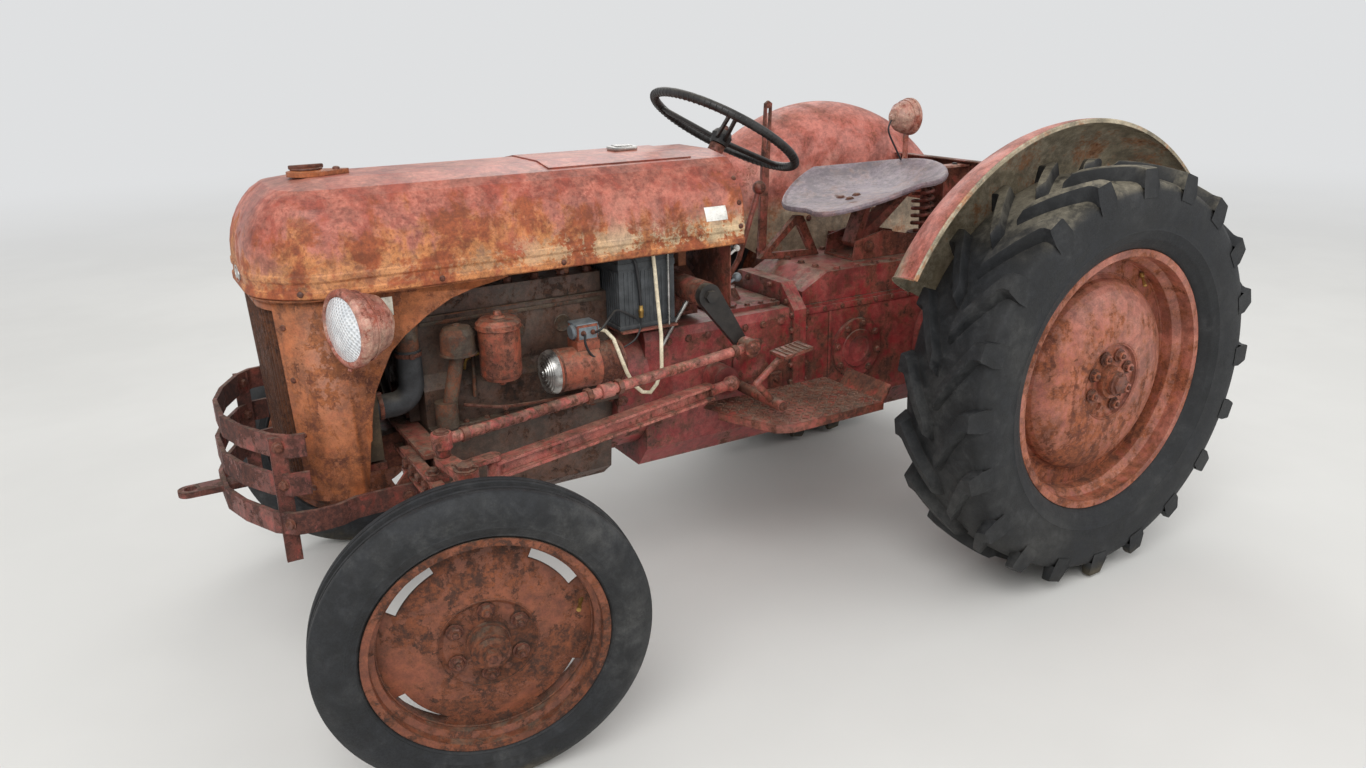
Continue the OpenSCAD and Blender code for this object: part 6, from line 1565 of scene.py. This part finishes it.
class TRACTOR_OT_stage(bpy.types.Operator):
    """Sets the floor, the lights and the camera"""

    bl_idname = "tractor.stage"
    bl_label = "Stage"

    def execute(self, context):
        settings = context.scene.tractor
        half = settings.floor_half
        mesh = bpy.data.meshes.new("floor")
        mesh.from_pydata([(-half, -half, 0), (half, -half, 0), (half, half, 0), (-half, half, 0)], [],
                         [(0, 1, 2, 3)])
        floor = bpy.data.objects.new("floor", mesh)
        context.scene.collection.objects.link(floor)
        g = Graph("floor")
        tone = (*settings.floor_colour, 1.0)
        soft = tuple(c * 0.95 for c in settings.floor_colour) + (1.0,)
        g.finish(g.mix(g.step(g.noise(0.7, 4, 0.6), 0.35, 0.65), tone, soft),
                 g.step(g.noise(6, 4), 0.3, 0.7, 0.75, 0.9),
                 g.bumps(g.noise(40, 3), 0.05, 0.001), weather=0.0)
        away = g.node("ShaderNodeVectorMath", {0: g.place}, operation="LENGTH").outputs["Value"]
        haze = g.node("ShaderNodeEmission", {"Color": (*SKY, 1.0), "Strength": SKY_STRENGTH}).outputs[0]
        fade = g.node("ShaderNodeMixShader", {0: g.step(away, 3.5, 12.0), 1: g.shader.outputs[0],
                                              2: haze}).outputs[0]
        g.tree.links.new(fade, g.tree.get_output_node("ALL").inputs["Surface"])
        dress(floor, g.material)
        for name, place, size, power in LIGHTS:
            data = bpy.data.lights.new(name, "AREA")
            data.shape, data.size = "DISK", size
            data.energy = settings.light_strength * power
            light = bpy.data.objects.new(name, data)
            light.location = place
            light.rotation_euler = (LIGHT_AIM - Vector(place)).to_track_quat("-Z", "Y").to_euler()
            context.scene.collection.objects.link(light)
        world = bpy.data.worlds.new("overcast")
        world.use_nodes = True
        sky = world.node_tree.nodes["Background"].inputs
        sky["Color"].default_value, sky["Strength"].default_value = (*SKY, 1.0), SKY_STRENGTH
        context.scene.world = world
        context.scene.view_settings.view_transform = "Standard"
        data = bpy.data.cameras.new("photo_camera")
        data.sensor_width, data.lens = SENSOR_WIDTH, SENSOR_WIDTH * FOCAL_PIXELS / PHOTO_WIDTH
        data.clip_start, data.clip_end = 0.05, 200
        camera = bpy.data.objects.new("photo_camera", data)
        ahead = Vector((math.cos(YAW) * math.cos(PITCH), math.sin(YAW) * math.cos(PITCH), -math.sin(PITCH)))
        right = Vector((math.sin(YAW), -math.cos(YAW), 0))
        up = right.cross(ahead)
        right, up = (right * math.cos(ROLL) + up * math.sin(ROLL), up * math.cos(ROLL) - right * math.sin(ROLL))
        turn = Matrix((right, up, -ahead)).transposed().to_4x4()
        camera.matrix_world = Matrix.Translation(EYE) @ turn
        context.scene.collection.objects.link(camera)
        context.scene.camera = camera
        return {"FINISHED"}


PIECE_OPERATORS = (
    TRACTOR_OT_finish_nodes,
    TRACTOR_OT_rear_tyres,
    TRACTOR_OT_front_tyres,
    TRACTOR_OT_engine_fittings,
    TRACTOR_OT_ignition,
    TRACTOR_OT_belt,
    TRACTOR_OT_clamps,
    TRACTOR_OT_starter_fittings,
    TRACTOR_OT_battery_fittings,
    TRACTOR_OT_filters,
    TRACTOR_OT_pipes,
    TRACTOR_OT_dash,
    TRACTOR_OT_housing_bolts,
    TRACTOR_OT_front_bolts,
    TRACTOR_OT_hood_fittings,
    TRACTOR_OT_headlamp_fittings,
    TRACTOR_OT_wheel_grip,
    TRACTOR_OT_hub_fittings,
    TRACTOR_OT_fender_edges,
    TRACTOR_OT_seat_fittings,
    TRACTOR_OT_step_tread,
    TRACTOR_OT_hitch_fittings,
    TRACTOR_OT_rear_lamp_fittings,
    TRACTOR_OT_grille_shell,
)


class TRACTOR_PT_panel(bpy.types.Panel):
    """Lists the tractor's operators in the sidebar"""

    bl_idname = "TRACTOR_PT_panel"
    bl_label = "Tractor"
    bl_space_type = "VIEW_3D"
    bl_region_type = "UI"
    bl_category = "Tractor"

    def draw(self, context):
        for operator in (*PIECE_OPERATORS, TRACTOR_OT_stage):
            self.layout.operator(operator.bl_idname)
        for name in TractorSettings.__annotations__:
            self.layout.prop(context.scene.tractor, name)


CLASSES = (TractorSettings, *PIECE_OPERATORS, TRACTOR_OT_stage, TRACTOR_PT_panel)


def register():
    for item in CLASSES:
        bpy.utils.register_class(item)
    bpy.types.Scene.tractor = bpy.props.PointerProperty(type=TractorSettings)


def unregister():
    del bpy.types.Scene.tractor
    for item in reversed(CLASSES):
        bpy.utils.unregister_class(item)


def main():
    """Builds every piece in order."""
    register()
    for operator in (*PIECE_OPERATORS, TRACTOR_OT_stage):
        getattr(bpy.ops.tractor, operator.bl_idname.split(".")[1])()


if __name__ == "__main__":
    main()
